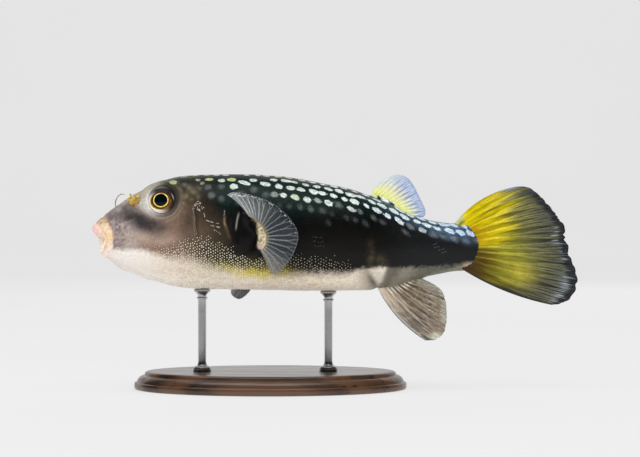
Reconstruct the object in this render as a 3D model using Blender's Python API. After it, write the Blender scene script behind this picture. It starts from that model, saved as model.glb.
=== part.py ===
# A freshwater pufferfish, life size, as a still display model: the fish swims
# level above an oval base on two short rods.
# Metres, +Z up. The head points to -X and the left flank to -Y. The origin lies
# under the middle of the model, on the surface that the base stands on.
import math

import bmesh
import bpy
import numpy as np
from mathutils import Vector

for old in list(bpy.data.objects):
    bpy.data.objects.remove(old, do_unlink=True)

MM = 0.001
GAP = 0.3          # clearance between neighbouring pieces, mm

# ---------------------------------------------------------------- sizes, in mm
HEAD_END = -49.25   # head meets trunk just before the pectoral fins
TRUNK_END = 17.0    # trunk meets tail stem at the vent
STEM_END = 68.6     # end of the tail stem, inside the caudal fin's fleshy root

HEAD_YAW = math.radians(10.0)    # the head turns a little to the fish's left
TAIL_YAW = math.radians(-3.0)    # and the tail follows it
NECK = (-25.0, -95.0)            # where the head's turn builds up
HIPS = (0.0, 70.0)               # where the tail's turn builds up

EYE_X, EYE_Y, EYE_Z = -86.9, 15.5, 93.8       # centre of each eyeball
EYE_R, EYE_DEPTH = 7.7, 5.4                   # its radius, and half its depth
EYE_UP, EYE_FORWARD = math.radians(9), math.radians(12)

BEAK = (-113.2, 74.6, 4.3, 6.2, 3.1)          # centre x, centre z, half sizes x y z

BASE_X, BASE_LENGTH, BASE_WIDTH, BASE_HEIGHT = -32.0, 136.0, 86.0, 9.0
ROD_X = (-66.0, -3.0)
ROD_R, FOOT_R, FOOT_H = 2.0, 4.5, 3.0

SIDES = 32          # facets round the body
MID_Y = -0.85        # moves the whole model so that its box is centred on y = 0
MID_X = -0.05

# Body sections: x, top, bottom, half width, height of the widest point as a
# share of the depth, squareness above and below it (2 is an ellipse).
SECTIONS = np.array([
    (-111.3, 90.3, 62.0, 11.2, 0.50, 2.10, 2.1),
    (-106.3, 93.8, 59.3, 14.0, 0.50, 2.15, 2.1),
    (-100.3, 97.5, 56.9, 16.6, 0.50, 2.25, 2.1),
    (-93.3, 101.2, 54.6, 19.0, 0.49, 2.40, 2.1),
    (-86.3, 103.8, 53.0, 21.0, 0.48, 2.50, 2.1),
    (-77.3, 105.9, 51.3, 23.0, 0.46, 2.45, 2.1),
    (-64.8, 106.9, 50.1, 25.0, 0.44, 2.35, 2.2),
    (-47.3, 107.1, 49.9, 26.5, 0.43, 2.25, 2.3),
    (-27.3, 106.1, 49.4, 27.0, 0.42, 2.20, 2.4),
    (-7.3, 102.9, 49.1, 26.0, 0.42, 2.15, 2.4),
    (8.8, 99.4, 49.3, 23.4, 0.43, 2.10, 2.3),
    (25.3, 93.2, 50.3, 18.2, 0.46, 2.10, 2.1),
    (40.3, 86.4, 54.1, 13.2, 0.50, 2.10, 2.0),
    (52.8, 83.3, 57.5, 9.4, 0.50, 2.05, 2.0),
    (61.8, 82.8, 59.0, 7.2, 0.50, 2.05, 2.0),
    (70.0, 83.0, 59.0, 5.2, 0.50, 2.05, 2.0),
])

# Rings of the mouth, from the crease behind the lips to the edge of the slit:
# top x z, bottom x z, side x y z.
LIP_RINGS = np.array([
    (-115.5, 87.2, -113.5, 64.2, -111.8, 10.4, 75.6),
    (-118.2, 83.8, -116.2, 65.3, -112.9, 10.0, 75.3),
    (-120.9, 82.0, -117.6, 67.2, -114.1, 9.0, 75.0),
    (-121.7, 79.8, -117.9, 69.4, -114.8, 7.9, 74.8),
    (-120.4, 77.4, -117.3, 71.5, -114.9, 6.9, 74.7),
    (-117.6, 75.7, -116.0, 73.5, -114.2, 6.2, 74.6),
])


# ------------------------------------------------------------------ curve maths
def pchip(xs, ys, x):
    """A smooth curve through (xs, ys) that never overshoots, read at x."""
    xs, ys, x = (np.asarray(a, float) for a in (xs, ys, x))
    h = np.diff(xs)
    d = np.diff(ys) / h
    m = np.zeros_like(ys)
    for i in range(1, len(ys) - 1):
        if d[i - 1] * d[i] > 0:
            w1, w2 = 2 * h[i] + h[i - 1], h[i] + 2 * h[i - 1]
            m[i] = (w1 + w2) / (w1 / d[i - 1] + w2 / d[i])
    m[0], m[-1] = d[0], d[-1]
    k = np.clip(np.searchsorted(xs, x) - 1, 0, len(h) - 1)
    t = (x - xs[k]) / h[k]
    t2, t3 = t * t, t * t * t
    return ((2 * t3 - 3 * t2 + 1) * ys[k] + (t3 - 2 * t2 + t) * h[k] * m[k]
            + (3 * t2 - 2 * t3) * ys[k + 1] + (t3 - t2) * h[k] * m[k + 1])


def smooth_line(points, n):
    """n points spaced evenly along a Catmull-Rom curve through the given points."""
    p = np.asarray(points, float)
    ends = np.vstack([2 * p[0] - p[1], p, 2 * p[-1] - p[-2]])
    dense = []
    for i in range(1, len(ends) - 2):
        a, b, c, d = ends[i - 1], ends[i], ends[i + 1], ends[i + 2]
        for t in np.linspace(0, 1, 24, endpoint=False):
            dense.append(0.5 * (2 * b + (c - a) * t + (2 * a - 5 * b + 4 * c - d) * t * t
                                + (3 * b - a - 3 * c + d) * t ** 3))
    dense.append(p[-1])
    dense = np.array(dense)
    along = np.r_[0, np.cumsum(np.linalg.norm(np.diff(dense, axis=0), axis=1))]
    at = np.linspace(0, along[-1], n)
    return np.stack([np.interp(at, along, dense[:, k]) for k in range(dense.shape[1])], 1)


def ease(t):
    t = np.clip(t, 0, 1)
    return t * t * (3 - 2 * t)


# --------------------------------------------------------- the fish's gentle bend
_S = np.linspace(-130, 130, 2601)
_TURN = (HEAD_YAW * ease((_S - NECK[0]) / (NECK[1] - NECK[0]))
         + TAIL_YAW * ease((_S - HIPS[0]) / (HIPS[1] - HIPS[0])))
_MID = int(np.argmin(abs(_S)))
_STEP = _S[1] - _S[0]
_CX = np.r_[0, np.cumsum((np.cos(_TURN[1:]) + np.cos(_TURN[:-1])) / 2 * _STEP)]
_CY = np.r_[0, np.cumsum((np.sin(_TURN[1:]) + np.sin(_TURN[:-1])) / 2 * _STEP)]
_CX, _CY = _CX - _CX[_MID], _CY - _CY[_MID]


def turn_at(x):
    return float(np.interp(x, _S, _TURN))


def posed(points):
    """Straight-fish points (n, 3) in mm to model points in metres, along the bent spine."""
    p = np.asarray(points, float).reshape(-1, 3)
    turn = np.interp(p[:, 0], _S, _TURN)
    x = np.interp(p[:, 0], _S, _CX) - np.sin(turn) * p[:, 1] + MID_X
    y = np.interp(p[:, 0], _S, _CY) + np.cos(turn) * p[:, 1] + MID_Y
    return np.stack([x, y, p[:, 2]], 1) * MM


# ----------------------------------------------------------------- body sections
def section_at(x):
    return [float(pchip(SECTIONS[:, 0], SECTIONS[:, k], x)) for k in range(1, 7)]


def half_outline(w, top, bottom, level, nt, nb, n):
    """n + 1 points (share of width, z) from the bottom up one side to the top, spaced evenly."""
    t = np.linspace(0, math.pi, 401)
    s, c = np.sin(t).clip(0, 1), np.abs(np.cos(t))
    low = t < math.pi / 2
    e = np.where(low, 2 / nb, 2 / nt)
    y = w * s ** e
    z = np.where(low, level - (level - bottom) * c ** e, level + (top - level) * c ** e)
    along = np.r_[0, np.cumsum(np.hypot(np.diff(y), np.diff(z)))]
    at = np.linspace(0, along[-1], n + 1)
    return np.interp(at, along, y), np.interp(at, along, z)


def body_ring(x, grow=0.0, n=SIDES):
    """One section of the body as n points, from the belly up the left flank and down the right."""
    top, bottom, w, share, nt, nb = section_at(x)
    top, bottom, w = top + grow, bottom - grow, w + grow
    y, z = half_outline(w, top, bottom, bottom + share * (top - bottom), nt, nb, n // 2)
    left = np.stack([np.full_like(y, x), -y, z], 1)
    right = np.stack([np.full_like(y, x), y, z], 1)[-2:0:-1]
    return np.vstack([left, right])


def mouth_ring(row, n=SIDES):
    """One ring round the mouth: its top, bottom and sides each reach their own depth."""
    xt, zt, xb, zb, xs, ys, zs = row
    y, z = half_outline(ys, zt, zb, zs, 2.1, 2.1, n // 2)
    up = np.where(z > zs, (z - zs) / (zt - zs), 0) ** 1.6
    down = np.where(z < zs, (zs - z) / (zs - zb), 0) ** 1.6
    x = xs + (xt - xs) * up + (xb - xs) * down
    left = np.stack([x, -y, z], 1)
    right = np.stack([x, y, z], 1)[-2:0:-1]
    return np.vstack([left, right])


def flank_y(x, z):
    """Half width of the body at this x and height."""
    top, bottom, w, share, nt, nb = section_at(x)
    level = bottom + share * (top - bottom)
    r, n = ((z - level) / (top - level), nt) if z > level else ((level - z) / (level - bottom), nb)
    return w * max(0.0, 1 - min(1.0, r) ** n) ** (1 / n)


def on_flank(x, z, off, side):
    """A point standing off the flank by this much, at about this x and height."""
    top, bottom = section_at(x)[:2]
    z = min(max(z, bottom + 0.3), top - 0.3)
    slope = (flank_y(x, z + 0.2) - flank_y(x, z - 0.2)) / 0.4
    grow = (flank_y(x + 0.5, z) - flank_y(x - 0.5, z)) / 1.0
    normal = Vector((-grow, 1.0, -slope)).normalized()
    return (x + normal.x * off, side * (flank_y(x, z) + normal.y * off), z + normal.z * off)


# -------------------------------------------------------------------- mesh making
def material(name, colour, roughness, metallic=0.0):
    m = bpy.data.materials.get(name) or bpy.data.materials.new(name)
    m.use_nodes = True
    p = m.node_tree.nodes["Principled BSDF"]
    p.inputs["Base Color"].default_value = (*colour, 1)
    p.inputs["Roughness"].default_value = roughness
    p.inputs["Metallic"].default_value = metallic
    return m


def new_object(name, verts, faces, mat, smooth=40):
    mesh = bpy.data.meshes.new(name)
    mesh.from_pydata([tuple(v) for v in verts], [], [tuple(f) for f in faces])
    bm = bmesh.new()
    bm.from_mesh(mesh)
    bmesh.ops.remove_doubles(bm, verts=bm.verts, dist=1e-6)
    bmesh.ops.recalc_face_normals(bm, faces=bm.faces)
    bm.to_mesh(mesh)
    bm.free()
    obj = bpy.data.objects.new(name, mesh)
    bpy.context.scene.collection.objects.link(obj)
    mesh.materials.append(mat)
    mesh.shade_smooth()
    mesh.set_sharp_from_angle(angle=math.radians(smooth))
    return obj


def loft(name, rings, mat, tips=(None, None)):
    """Closed solid over rings of equal length; each end is a fan to its own middle point."""
    n = len(rings[0])
    verts = [p for r in rings for p in posed(r)]
    faces = [(i * n + j, i * n + (j + 1) % n, (i + 1) * n + (j + 1) % n, (i + 1) * n + j)
             for i in range(len(rings) - 1) for j in range(n)]
    for ring, start, tip in ((rings[0], 0, tips[0]), (rings[-1], (len(rings) - 1) * n, tips[1])):
        middle = len(verts)
        verts.append(posed([ring.mean(0) if tip is None else tip])[0])
        faces += [(start + j, start + (j + 1) % n, middle) for j in range(n)]
    return new_object(name, verts, faces, mat)


def helper(obj):
    obj.hide_render = True
    obj.display_type = "WIRE"
    return obj


def boolean(obj, other, operation="DIFFERENCE"):
    m = obj.modifiers.new("cut", "BOOLEAN")
    m.operation, m.object, m.solver = operation, other, "EXACT"
    return obj


def ellipsoid(name, centre, axes, halves, mat, u=20, v=10):
    """An ellipsoid at centre (posed metres) with its own unit axes and half sizes in mm."""
    verts, faces = [], []
    for i in range(v + 1):
        a = math.pi * i / v
        for j in range(u):
            b = 2 * math.pi * j / u
            local = (math.sin(a) * math.cos(b) * halves[0], math.sin(a) * math.sin(b) * halves[1],
                     math.cos(a) * halves[2])
            verts.append(centre + sum((axes[k] * local[k] * MM for k in range(3)), Vector()))
    for i in range(v):
        for j in range(u):
            q = (i * u + j, i * u + (j + 1) % u, (i + 1) * u + (j + 1) % u, (i + 1) * u + j)
            faces.append(q)
    return new_object(name, verts, faces, mat)


def sheet(name, grid, thick, mat):
    """A closed thin solid about a grid of points (rays, along, 3) in straight-fish mm.
    thick(i, j) is the full thickness at a grid point, each as shares from 0 to 1."""
    g = posed(grid.reshape(-1, 3)).reshape(grid.shape)
    a, b = g.shape[:2]
    du, dv = np.gradient(g, axis=0), np.gradient(g, axis=1)
    normal = np.cross(du, dv)
    normal /= np.linalg.norm(normal, axis=2)[..., None]
    t = np.array([[thick(i / (a - 1), j / (b - 1)) for j in range(b)] for i in range(a)]) * MM / 2
    front, back = g + normal * t[..., None], g - normal * t[..., None]
    verts = np.vstack([front.reshape(-1, 3), back.reshape(-1, 3)])
    at, off, faces = (lambda i, j: i * b + j), a * b, []
    for i in range(a - 1):
        for j in range(b - 1):
            q = [at(i, j), at(i + 1, j), at(i + 1, j + 1), at(i, j + 1)]
            faces += [q, [off + k for k in reversed(q)]]
    rim = ([at(i, 0) for i in range(a)] + [at(a - 1, j) for j in range(1, b)]
           + [at(i, b - 1) for i in range(a - 2, -1, -1)] + [at(0, j) for j in range(b - 2, 0, -1)])
    for p, q in zip(rim, rim[1:] + rim[:1]):
        faces.append([p, q, off + q, off + p])
    return new_object(name, verts, faces, mat, smooth=50)


def fan(root, margin, rays, along, bow=(0.0, 0.0), cup=0.0, start=0.0):
    """A grid of fin points: each ray runs from the root line to the margin line.
    bow bends the first and last ray in the fin's plane, cup bends every ray across it."""
    r, m = smooth_line(root, rays), smooth_line(margin, rays)
    grid = np.zeros((rays, along, 3))
    for i in range(rays):
        d = m[i] - r[i]
        t = i / (rays - 1)
        across = np.cross(d, m[min(i + 1, rays - 1)] - m[max(i - 1, 0)])
        across /= np.linalg.norm(across)
        side = np.cross(across, d / np.linalg.norm(d))
        for j in range(along):
            s = start + (1 - start) * j / (along - 1)
            grid[i, j] = (r[i] + d * s + side * 4 * s * (1 - s) * (bow[0] * (1 - t) + bow[1] * t)
                          + across * 4 * s * (1 - s) * cup)
    return grid


# ---------------------------------------------------------------------- materials
skin_head = material("skin_head", (0.23, 0.18, 0.15), 0.45)
skin_back = material("skin_back", (0.03, 0.04, 0.035), 0.40)
skin_tail = material("skin_tail", (0.035, 0.035, 0.04), 0.40)
lip = material("lip", (0.80, 0.47, 0.34), 0.45)
tooth = material("tooth", (0.86, 0.80, 0.66), 0.30)
eye = material("eye", (0.30, 0.17, 0.03), 0.12)
flap = material("nasal_flap", (0.66, 0.46, 0.10), 0.45)
fin_clear = material("fin_pectoral", (0.50, 0.52, 0.56), 0.40)
fin_yellow = material("fin_yellow", (0.72, 0.58, 0.03), 0.40)
fin_brown = material("fin_brown", (0.33, 0.27, 0.21), 0.45)
wood = material("stand_wood", (0.055, 0.035, 0.025), 0.45)
steel = material("stand_steel", (0.55, 0.55, 0.56), 0.30, 1.0)

# -------------------------------------------------------------- the body's lengths
def stations(a, b, step):
    return np.linspace(a, b, max(2, int(round((b - a) / step)) + 1))


crease = mouth_ring(LIP_RINGS[0])
crease_back = crease + np.array([GAP, 0, 0])
head_rings = [crease_back]
first = body_ring(-106.3)
for s in (0.33, 0.66):
    head_rings.append(crease_back * (1 - s) + first * s)
head_rings += [body_ring(x) for x in stations(-106.3, HEAD_END - GAP / 2, 3.6)]
head = loft("head", head_rings, skin_head, ((-111.9, 0, 75.4), None))
trunk = loft("trunk", [body_ring(x) for x in stations(HEAD_END + GAP / 2, TRUNK_END - GAP / 2, 4.6)],
             skin_back)
stem_rings = [body_ring(x) for x in stations(TRUNK_END + GAP / 2, STEM_END, 4.3)]
stem = loft("tail_stem", stem_rings, skin_tail)

# The whole body a little larger, to trim what grows out of it.
cutter_body = helper(loft("cutter_body", [body_ring(x, GAP) for x in
                                          stations(-108.0, STEM_END + GAP, 4.0)], skin_back))

# ------------------------------------------------------------------------- the mouth
bx, bz, ax, ay, az = BEAK
mouth_turn = turn_at(bx)
mouth_axes = (Vector((math.cos(mouth_turn), math.sin(mouth_turn), 0)),
              Vector((-math.sin(mouth_turn), math.cos(mouth_turn), 0)), Vector((0, 0, 1)))
beak_at = Vector(posed([(bx, 0, bz)])[0])
beak_room = helper(ellipsoid("cutter_beak", beak_at, mouth_axes,
                             (ax + GAP, ay + GAP, az + GAP), tooth, 20, 10))
boolean(head, beak_room)


def slab(name, z0, z1):
    """A wide block about the mouth between two heights."""
    pts = [(x, y, z) for x in (-126, -100) for y in (-22, 22) for z in (z0, z1)]
    quads = [(0, 1, 3, 2), (4, 6, 7, 5), (0, 4, 5, 1), (2, 3, 7, 6), (0, 2, 6, 4), (1, 5, 7, 3)]
    verts = [Vector(posed([(-113, 0, p[2])])[0]) + mouth_axes[0] * (p[0] + 113) * MM
             + mouth_axes[1] * p[1] * MM for p in pts]
    return helper(new_object(name, verts, quads, tooth))


below, above = slab("cutter_below", 40, bz + GAP / 2), slab("cutter_above", bz - GAP / 2, 110)
lips_rings = [mouth_ring(r) for r in LIP_RINGS]
for name, half in (("lip_upper", below), ("lip_lower", above)):
    piece = loft(name, lips_rings, lip, ((-112.3, 0, 75.4), (-113.0, 0, 74.6)))
    boolean(boolean(piece, beak_room), half)
for name, half in (("beak_upper", below), ("beak_lower", above)):
    piece = ellipsoid(name, beak_at, mouth_axes, (ax, ay, az), tooth, 20, 10)
    boolean(piece, half)

# -------------------------------------------------------------------------- the eyes
for name, side in (("eye_left", -1), ("eye_right", 1)):
    centre = Vector(posed([(EYE_X, side * EYE_Y, EYE_Z)])[0])
    heading = turn_at(EYE_X)
    out = Vector((-math.sin(EYE_FORWARD), side * math.cos(EYE_FORWARD), 0))
    out = Vector((out.x * math.cos(heading) - out.y * math.sin(heading),
                  out.x * math.sin(heading) + out.y * math.cos(heading), 0)) * math.cos(EYE_UP)
    out.z = math.sin(EYE_UP)
    out.normalize()
    along = out.cross(Vector((0, 0, 1))).normalized()
    axes = (along, out.cross(along), out)
    ellipsoid(name, centre, axes, (EYE_R, EYE_R, EYE_DEPTH), eye, 20, 10)
    boolean(head, helper(ellipsoid("cutter_" + name, centre, axes,
                                   (EYE_R + GAP, EYE_R + GAP, EYE_DEPTH + GAP), eye, 20, 10)))


# ------------------------------------------------------------------ the nasal flaps
def leaf(name, path, width, thick, across, mat, sides=6, steps=7):
    """A tapering blade along a path: wide in the middle, round at its tip."""
    line = smooth_line(path, steps)
    rings = []
    for i, p in enumerate(line):
        t = i / (steps - 1)
        d = line[min(i + 1, steps - 1)] - line[max(i - 1, 0)]
        d /= np.linalg.norm(d)
        a = np.array(across, float)
        a -= d * (a @ d)
        a /= np.linalg.norm(a)
        b = np.cross(d, a)
        w = width / 2 * (0.55 + 0.45 * math.sin(math.pi * min(1, t * 1.15))) * (1 - 0.45 * t ** 6)
        h = thick / 2 * (1 - 0.25 * t)
        rings.append(np.array([p + a * w * math.cos(2 * math.pi * k / sides)
                               + b * h * math.sin(2 * math.pi * k / sides) for k in range(sides)]))
    return loft(name, rings, mat)


# Each nostril is a forked flap: a forward arm and a rear arm on one root.
# Every point is x, z and how far it stands off the flank.
FLAPS = {
    "nasal_flap_left": (-1, [((-100.2, 89.6, -2.0), (-101.2, 90.4, 1.0), (-103.2, 91.6, 2.4),
                              (-105.0, 92.6, 2.6)),
                             ((-100.0, 89.4, -2.0), (-99.8, 91.2, 1.2), (-98.6, 93.4, 2.4),
                              (-98.0, 95.6, 2.6))], 2.6),
    "nasal_flap_right": (1, [((-101.0, 89.6, -2.0), (-103.4, 91.0, 1.6), (-105.0, 93.2, 3.4),
                              (-104.6, 95.2, 3.9), (-101.6, 95.6, 3.6)),
                             ((-101.2, 89.6, -2.0), (-101.4, 91.0, 1.3), (-99.8, 92.2, 2.2),
                              (-98.4, 92.8, 2.6))], 2.0),
}
for name, (side, arms, width) in FLAPS.items():
    made = []
    for k, arm in enumerate(arms):
        path = [on_flank(x, z, off, side) for x, z, off in arm]
        made.append(leaf(name if k == 0 else "cutter_" + name, path, width, 1.2,
                         (0.5, 0, 1) if side < 0 else (0.3, 1, 0), flap))
    boolean(made[0], helper(made[1]), "UNION")
    boolean(made[0], cutter_body)


# -------------------------------------------------------------------- the median fins
def flat(points, y=0.0):
    return [(x, y, z) for x, z in points]


def fin_thickness(base, edge, fleshy=0.0, reach=0.15):
    """Thickest at the root, with a fleshy foot over the first part of each ray."""
    return lambda i, j: edge + (base - edge) * (1 - j) ** 1.5 + fleshy * max(0, 1 - j / reach) ** 1.5


DORSAL_ROOT = [(18.0, 95.2), (25.2, 91.6), (31.5, 88.6), (35.5, 86.6)]
DORSAL_EDGE = [(28.3, 106.4), (32.3, 107.2), (35.8, 106.2), (38.6, 103.4), (40.9, 99.5), (43.1, 95.0),
               (45.2, 90.6), (45.7, 87.6), (44.6, 85.9)]
ANAL_ROOT = [(20.8, 52.2), (30.0, 52.6), (36.0, 54.6), (41.0, 56.4)]
ANAL_EDGE = [(44.8, 24.1), (49.8, 24.3), (54.0, 25.6), (55.8, 29.0), (56.4, 33.6), (56.1, 39.0),
             (55.5, 44.6), (53.7, 49.3), (50.6, 52.2)]
CAUDAL_ROOT = [(63.0, 84.0), (65.0, 78.0), (65.6, 71.4), (65.0, 65.0), (63.6, 59.8)]
CAUDAL_EDGE = [(88.6, 100.6), (93.0, 101.2), (97.8, 100.3), (102.0, 97.2), (106.6, 92.4), (111.4, 86.8),
               (115.4, 80.6), (116.7, 74.4), (117.4, 67.6), (119.6, 61.6), (121.2, 55.6),
               (120.5, 50.2), (117.8, 45.6), (113.6, 42.8), (107.8, 42.2)]

dorsal = sheet("dorsal_fin", fan(flat(DORSAL_ROOT), flat(DORSAL_EDGE), 13, 6, (-1.8, 0.4), 0.5),
               fin_thickness(1.7, 0.6, 2.4, 0.5), fin_yellow)
boolean(dorsal, cutter_body)
anal = sheet("anal_fin", fan(flat(ANAL_ROOT), flat(ANAL_EDGE), 13, 7, (-3.4, 1.0), 0.6),
             fin_thickness(1.8, 0.6, 2.2, 0.35), fin_brown)
boolean(anal, cutter_body)
grid = fan(flat(CAUDAL_ROOT), flat(CAUDAL_EDGE), 21, 8, (-4.2, 2.2))
sway = (grid[..., 0] - 66) / 55
grid[..., 1] += 2.2 * np.sin((grid[..., 2] - 60) / 16) * ease(sway)
caudal = sheet("caudal_fin", grid, fin_thickness(2.0, 0.7, 4.4, 0.3), fin_yellow)
boolean(caudal, cutter_body)

# ----------------------------------------------------------------- the pectoral fins
PECTORALS = {
    # root line and margin, as x, distance from the middle plane, z
    "left": (-1,
             [(-41.2, 29.5, 87.2), (-36.8, 30.6, 85.2), (-33.0, 31.6, 81.4), (-31.4, 32.2, 77.0),
              (-31.8, 32.0, 72.8), (-33.6, 31.2, 69.0)],
             [(-53.6, 38.8, 97.6), (-50.6, 41.4, 98.2), (-44.8, 44.0, 97.0), (-38.2, 45.8, 94.9),
              (-32.4, 46.8, 91.4), (-27.0, 47.2, 87.4), (-22.2, 47.2, 82.8), (-18.8, 46.8, 78.4),
              (-18.4, 46.2, 74.8), (-20.0, 45.4, 70.8), (-23.0, 44.2, 66.0), (-26.6, 42.4, 61.0),
              (-30.0, 40.4, 56.8), (-32.6, 38.8, 57.4)]),
    "right": (1,
              [(-38.4, 29.8, 84.6), (-36.4, 31.0, 81.6), (-35.2, 32.0, 77.4), (-35.2, 32.2, 73.0),
               (-36.4, 31.4, 69.0), (-38.6, 29.8, 65.6)],
              [(-29.4, 36.4, 103.0), (-27.0, 40.0, 100.6), (-25.6, 43.6, 96.4), (-25.6, 46.6, 90.8),
               (-27.0, 48.4, 83.4), (-29.4, 49.0, 75.4), (-32.6, 48.0, 67.4), (-36.4, 45.8, 59.6),
               (-40.2, 42.8, 52.0), (-44.0, 39.4, 45.8), (-48.0, 36.6, 43.2), (-51.4, 35.0, 45.8),
               (-51.6, 33.8, 50.4)]),
}
for side_name, (side, root, edge) in PECTORALS.items():
    root = [(x, side * y, z) for x, y, z in root]
    edge = [(x, side * y, z) for x, y, z in edge]
    grid = fan(root, edge, 17, 6, (0.0, 0.0), -1.2 * side, start=0.06)
    sheet("pectoral_fin_" + side_name, grid, fin_thickness(1.5, 0.6), fin_clear)
    # The fleshy lobe that carries the fin: from inside the flank out to the root line.
    line = smooth_line(root, 9)
    inner = line.copy()
    inner[:, 0] = line[:, 0] * 0.8 - 0.2 * 41.5
    inner[:, 1] = side * 22.0
    inner[:, 2] = 76 + (line[:, 2] - 76) * 0.8
    lobe = np.stack([inner + (line - inner) * (s - 0.02 * s) for s in np.linspace(0, 1, 5)], 1)
    piece = sheet("pectoral_base_" + side_name, lobe,
                  lambda i, j: (2.2 + 3.6 * (1 - j)) * (0.45 + 0.55 * math.sin(math.pi * (0.12 + 0.76 * i))),
                  lip)
    boolean(piece, cutter_body)

# ------------------------------------------------------------------------ the stand
def turned(name, profile, x, y, mat, steps=16):
    """A solid turned about a vertical axis from (radius, height) points, bottom to top."""
    verts, faces = [], []
    for r, z in profile:
        for k in range(steps):
            a = 2 * math.pi * k / steps
            verts.append((x + r * MM * math.cos(a), y + r * MM * math.sin(a), z * MM))
    for i in range(len(profile) - 1):
        for k in range(steps):
            faces.append((i * steps + k, i * steps + (k + 1) % steps,
                          (i + 1) * steps + (k + 1) % steps, (i + 1) * steps + k))
    faces.append(tuple(range(steps))[::-1])
    faces.append(tuple((len(profile) - 1) * steps + k for k in range(steps)))
    return new_object(name, verts, faces, mat, smooth=35)


base = bpy.data.meshes.new("stand_base")
bm = bmesh.new()
bmesh.ops.create_cone(bm, cap_ends=True, segments=44, radius1=0.5, radius2=0.5, depth=1.0)
for v in bm.verts:
    v.co = ((v.co.x * BASE_LENGTH + BASE_X) * MM, v.co.y * BASE_WIDTH * MM,
            (v.co.z + 0.5) * BASE_HEIGHT * MM)
bm.to_mesh(base)
bm.free()
base_obj = bpy.data.objects.new("stand_base", base)
bpy.context.scene.collection.objects.link(base_obj)
base.materials.append(wood)
round_over = base_obj.modifiers.new("round", "BEVEL")
round_over.width, round_over.segments, round_over.limit_method = 0.0016, 2, "ANGLE"
base.shade_smooth()
base.set_sharp_from_angle(angle=math.radians(30))

for name, x in (("stand_rod_front", ROD_X[0]), ("stand_rod_rear", ROD_X[1])):
    foot = posed([(x, 0, 0)])[0]
    z0 = BASE_HEIGHT + GAP
    rod = turned(name, [(FOOT_R, z0), (FOOT_R, z0 + FOOT_H - 0.8), (FOOT_R - 0.8, z0 + FOOT_H),
                        (ROD_R, z0 + FOOT_H), (ROD_R, 53.5)], foot[0], foot[1], steel)
    boolean(rod, cutter_body)
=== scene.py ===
import math

import bmesh
import bpy
import numpy as np
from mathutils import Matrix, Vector


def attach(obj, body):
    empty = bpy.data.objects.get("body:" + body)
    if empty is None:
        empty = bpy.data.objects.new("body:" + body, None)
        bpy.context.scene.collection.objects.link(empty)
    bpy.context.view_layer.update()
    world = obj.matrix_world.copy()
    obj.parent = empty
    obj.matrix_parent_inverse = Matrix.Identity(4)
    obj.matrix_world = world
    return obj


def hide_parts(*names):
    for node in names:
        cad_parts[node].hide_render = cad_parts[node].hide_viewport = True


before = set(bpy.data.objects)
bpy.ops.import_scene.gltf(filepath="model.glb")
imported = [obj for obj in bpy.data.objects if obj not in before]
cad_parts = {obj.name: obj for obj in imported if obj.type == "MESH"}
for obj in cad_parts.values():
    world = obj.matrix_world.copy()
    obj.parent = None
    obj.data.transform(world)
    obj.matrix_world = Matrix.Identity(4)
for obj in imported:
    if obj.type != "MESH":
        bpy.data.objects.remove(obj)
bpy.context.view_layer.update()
for name in ("Cube", "Light", "Camera"):          # a new file's own objects
    if name in bpy.data.objects:
        bpy.data.objects.remove(bpy.data.objects[name])
MM = 0.001

# ------------------------------------------------------------------ the CAD's sizes
HEAD_YAW, TAIL_YAW = math.radians(10.0), math.radians(-3.0)
NECK, HIPS = (-25.0, -95.0), (0.0, 70.0)
MID_X, MID_Y = -0.05, -0.85
EYE_X, EYE_Y, EYE_Z = -86.9, 15.5, 93.8
EYE_R, EYE_DEPTH = 7.7, 5.4
EYE_UP, EYE_FORWARD = math.radians(9), math.radians(12)

SECTIONS = np.array([      # x, top, bottom, half width, level, squareness above, below
    (-106.3, 92.7, 60.3, 14.0, 0.50, 2.15, 2.1),
    (-100.3, 96.8, 57.8, 16.6, 0.50, 2.25, 2.1),
    (-93.3, 100.5, 55.2, 19.0, 0.49, 2.40, 2.1),
    (-86.3, 103.7, 53.4, 21.0, 0.48, 2.50, 2.1),
    (-77.3, 105.9, 51.3, 23.0, 0.46, 2.45, 2.1),
    (-64.8, 106.9, 50.1, 25.0, 0.44, 2.35, 2.2),
    (-47.3, 107.1, 49.9, 26.5, 0.43, 2.25, 2.3),
    (-27.3, 106.1, 49.4, 27.0, 0.42, 2.20, 2.4),
    (-7.3, 102.9, 49.1, 26.0, 0.42, 2.15, 2.4),
    (8.8, 99.4, 49.3, 23.4, 0.43, 2.10, 2.3),
    (25.3, 93.2, 50.3, 18.2, 0.46, 2.10, 2.1),
    (40.3, 86.4, 54.8, 13.2, 0.50, 2.10, 2.0),
    (52.8, 83.3, 57.5, 9.4, 0.50, 2.05, 2.0),
    (61.8, 82.8, 59.0, 7.2, 0.50, 2.05, 2.0),
])
# Rings of the mouth and of the tail's end: place along the skin, then top x z,
# bottom x z, side x y z.
MOUTH = np.array([
    (-137.0, -110.8, 75.7, -110.8, 73.5, -109.0, 3.2, 74.6),
    (-131.4, -116.5, 75.6, -115.3, 73.7, -112.9, 5.4, 74.6),
    (-129.6, -118.0, 76.1, -116.2, 73.2, -113.5, 6.0, 74.6),
    (-127.2, -119.5, 77.5, -116.9, 71.9, -114.1, 6.7, 74.6),
    (-124.4, -120.4, 79.6, -117.1, 70.2, -114.6, 7.4, 74.7),
    (-122.0, -120.0, 81.4, -116.8, 68.7, -114.3, 8.1, 74.8),
    (-120.2, -118.6, 82.3, -115.9, 67.8, -113.6, 8.6, 75.0),
    (-118.6, -117.7, 83.7, -115.4, 67.0, -113.3, 9.6, 75.2),
    (-116.9, -116.2, 85.2, -114.4, 66.1, -112.5, 10.4, 75.4),
    (-115.3, -114.9, 85.9, -113.3, 65.7, -111.4, 10.4, 75.5),
    (-113.6, -113.9, 87.0, -112.1, 64.8, -110.3, 11.0, 75.7),
    (-111.0, -111.6, 88.9, -110.1, 63.0, -108.6, 12.1, 76.0),
])
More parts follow.
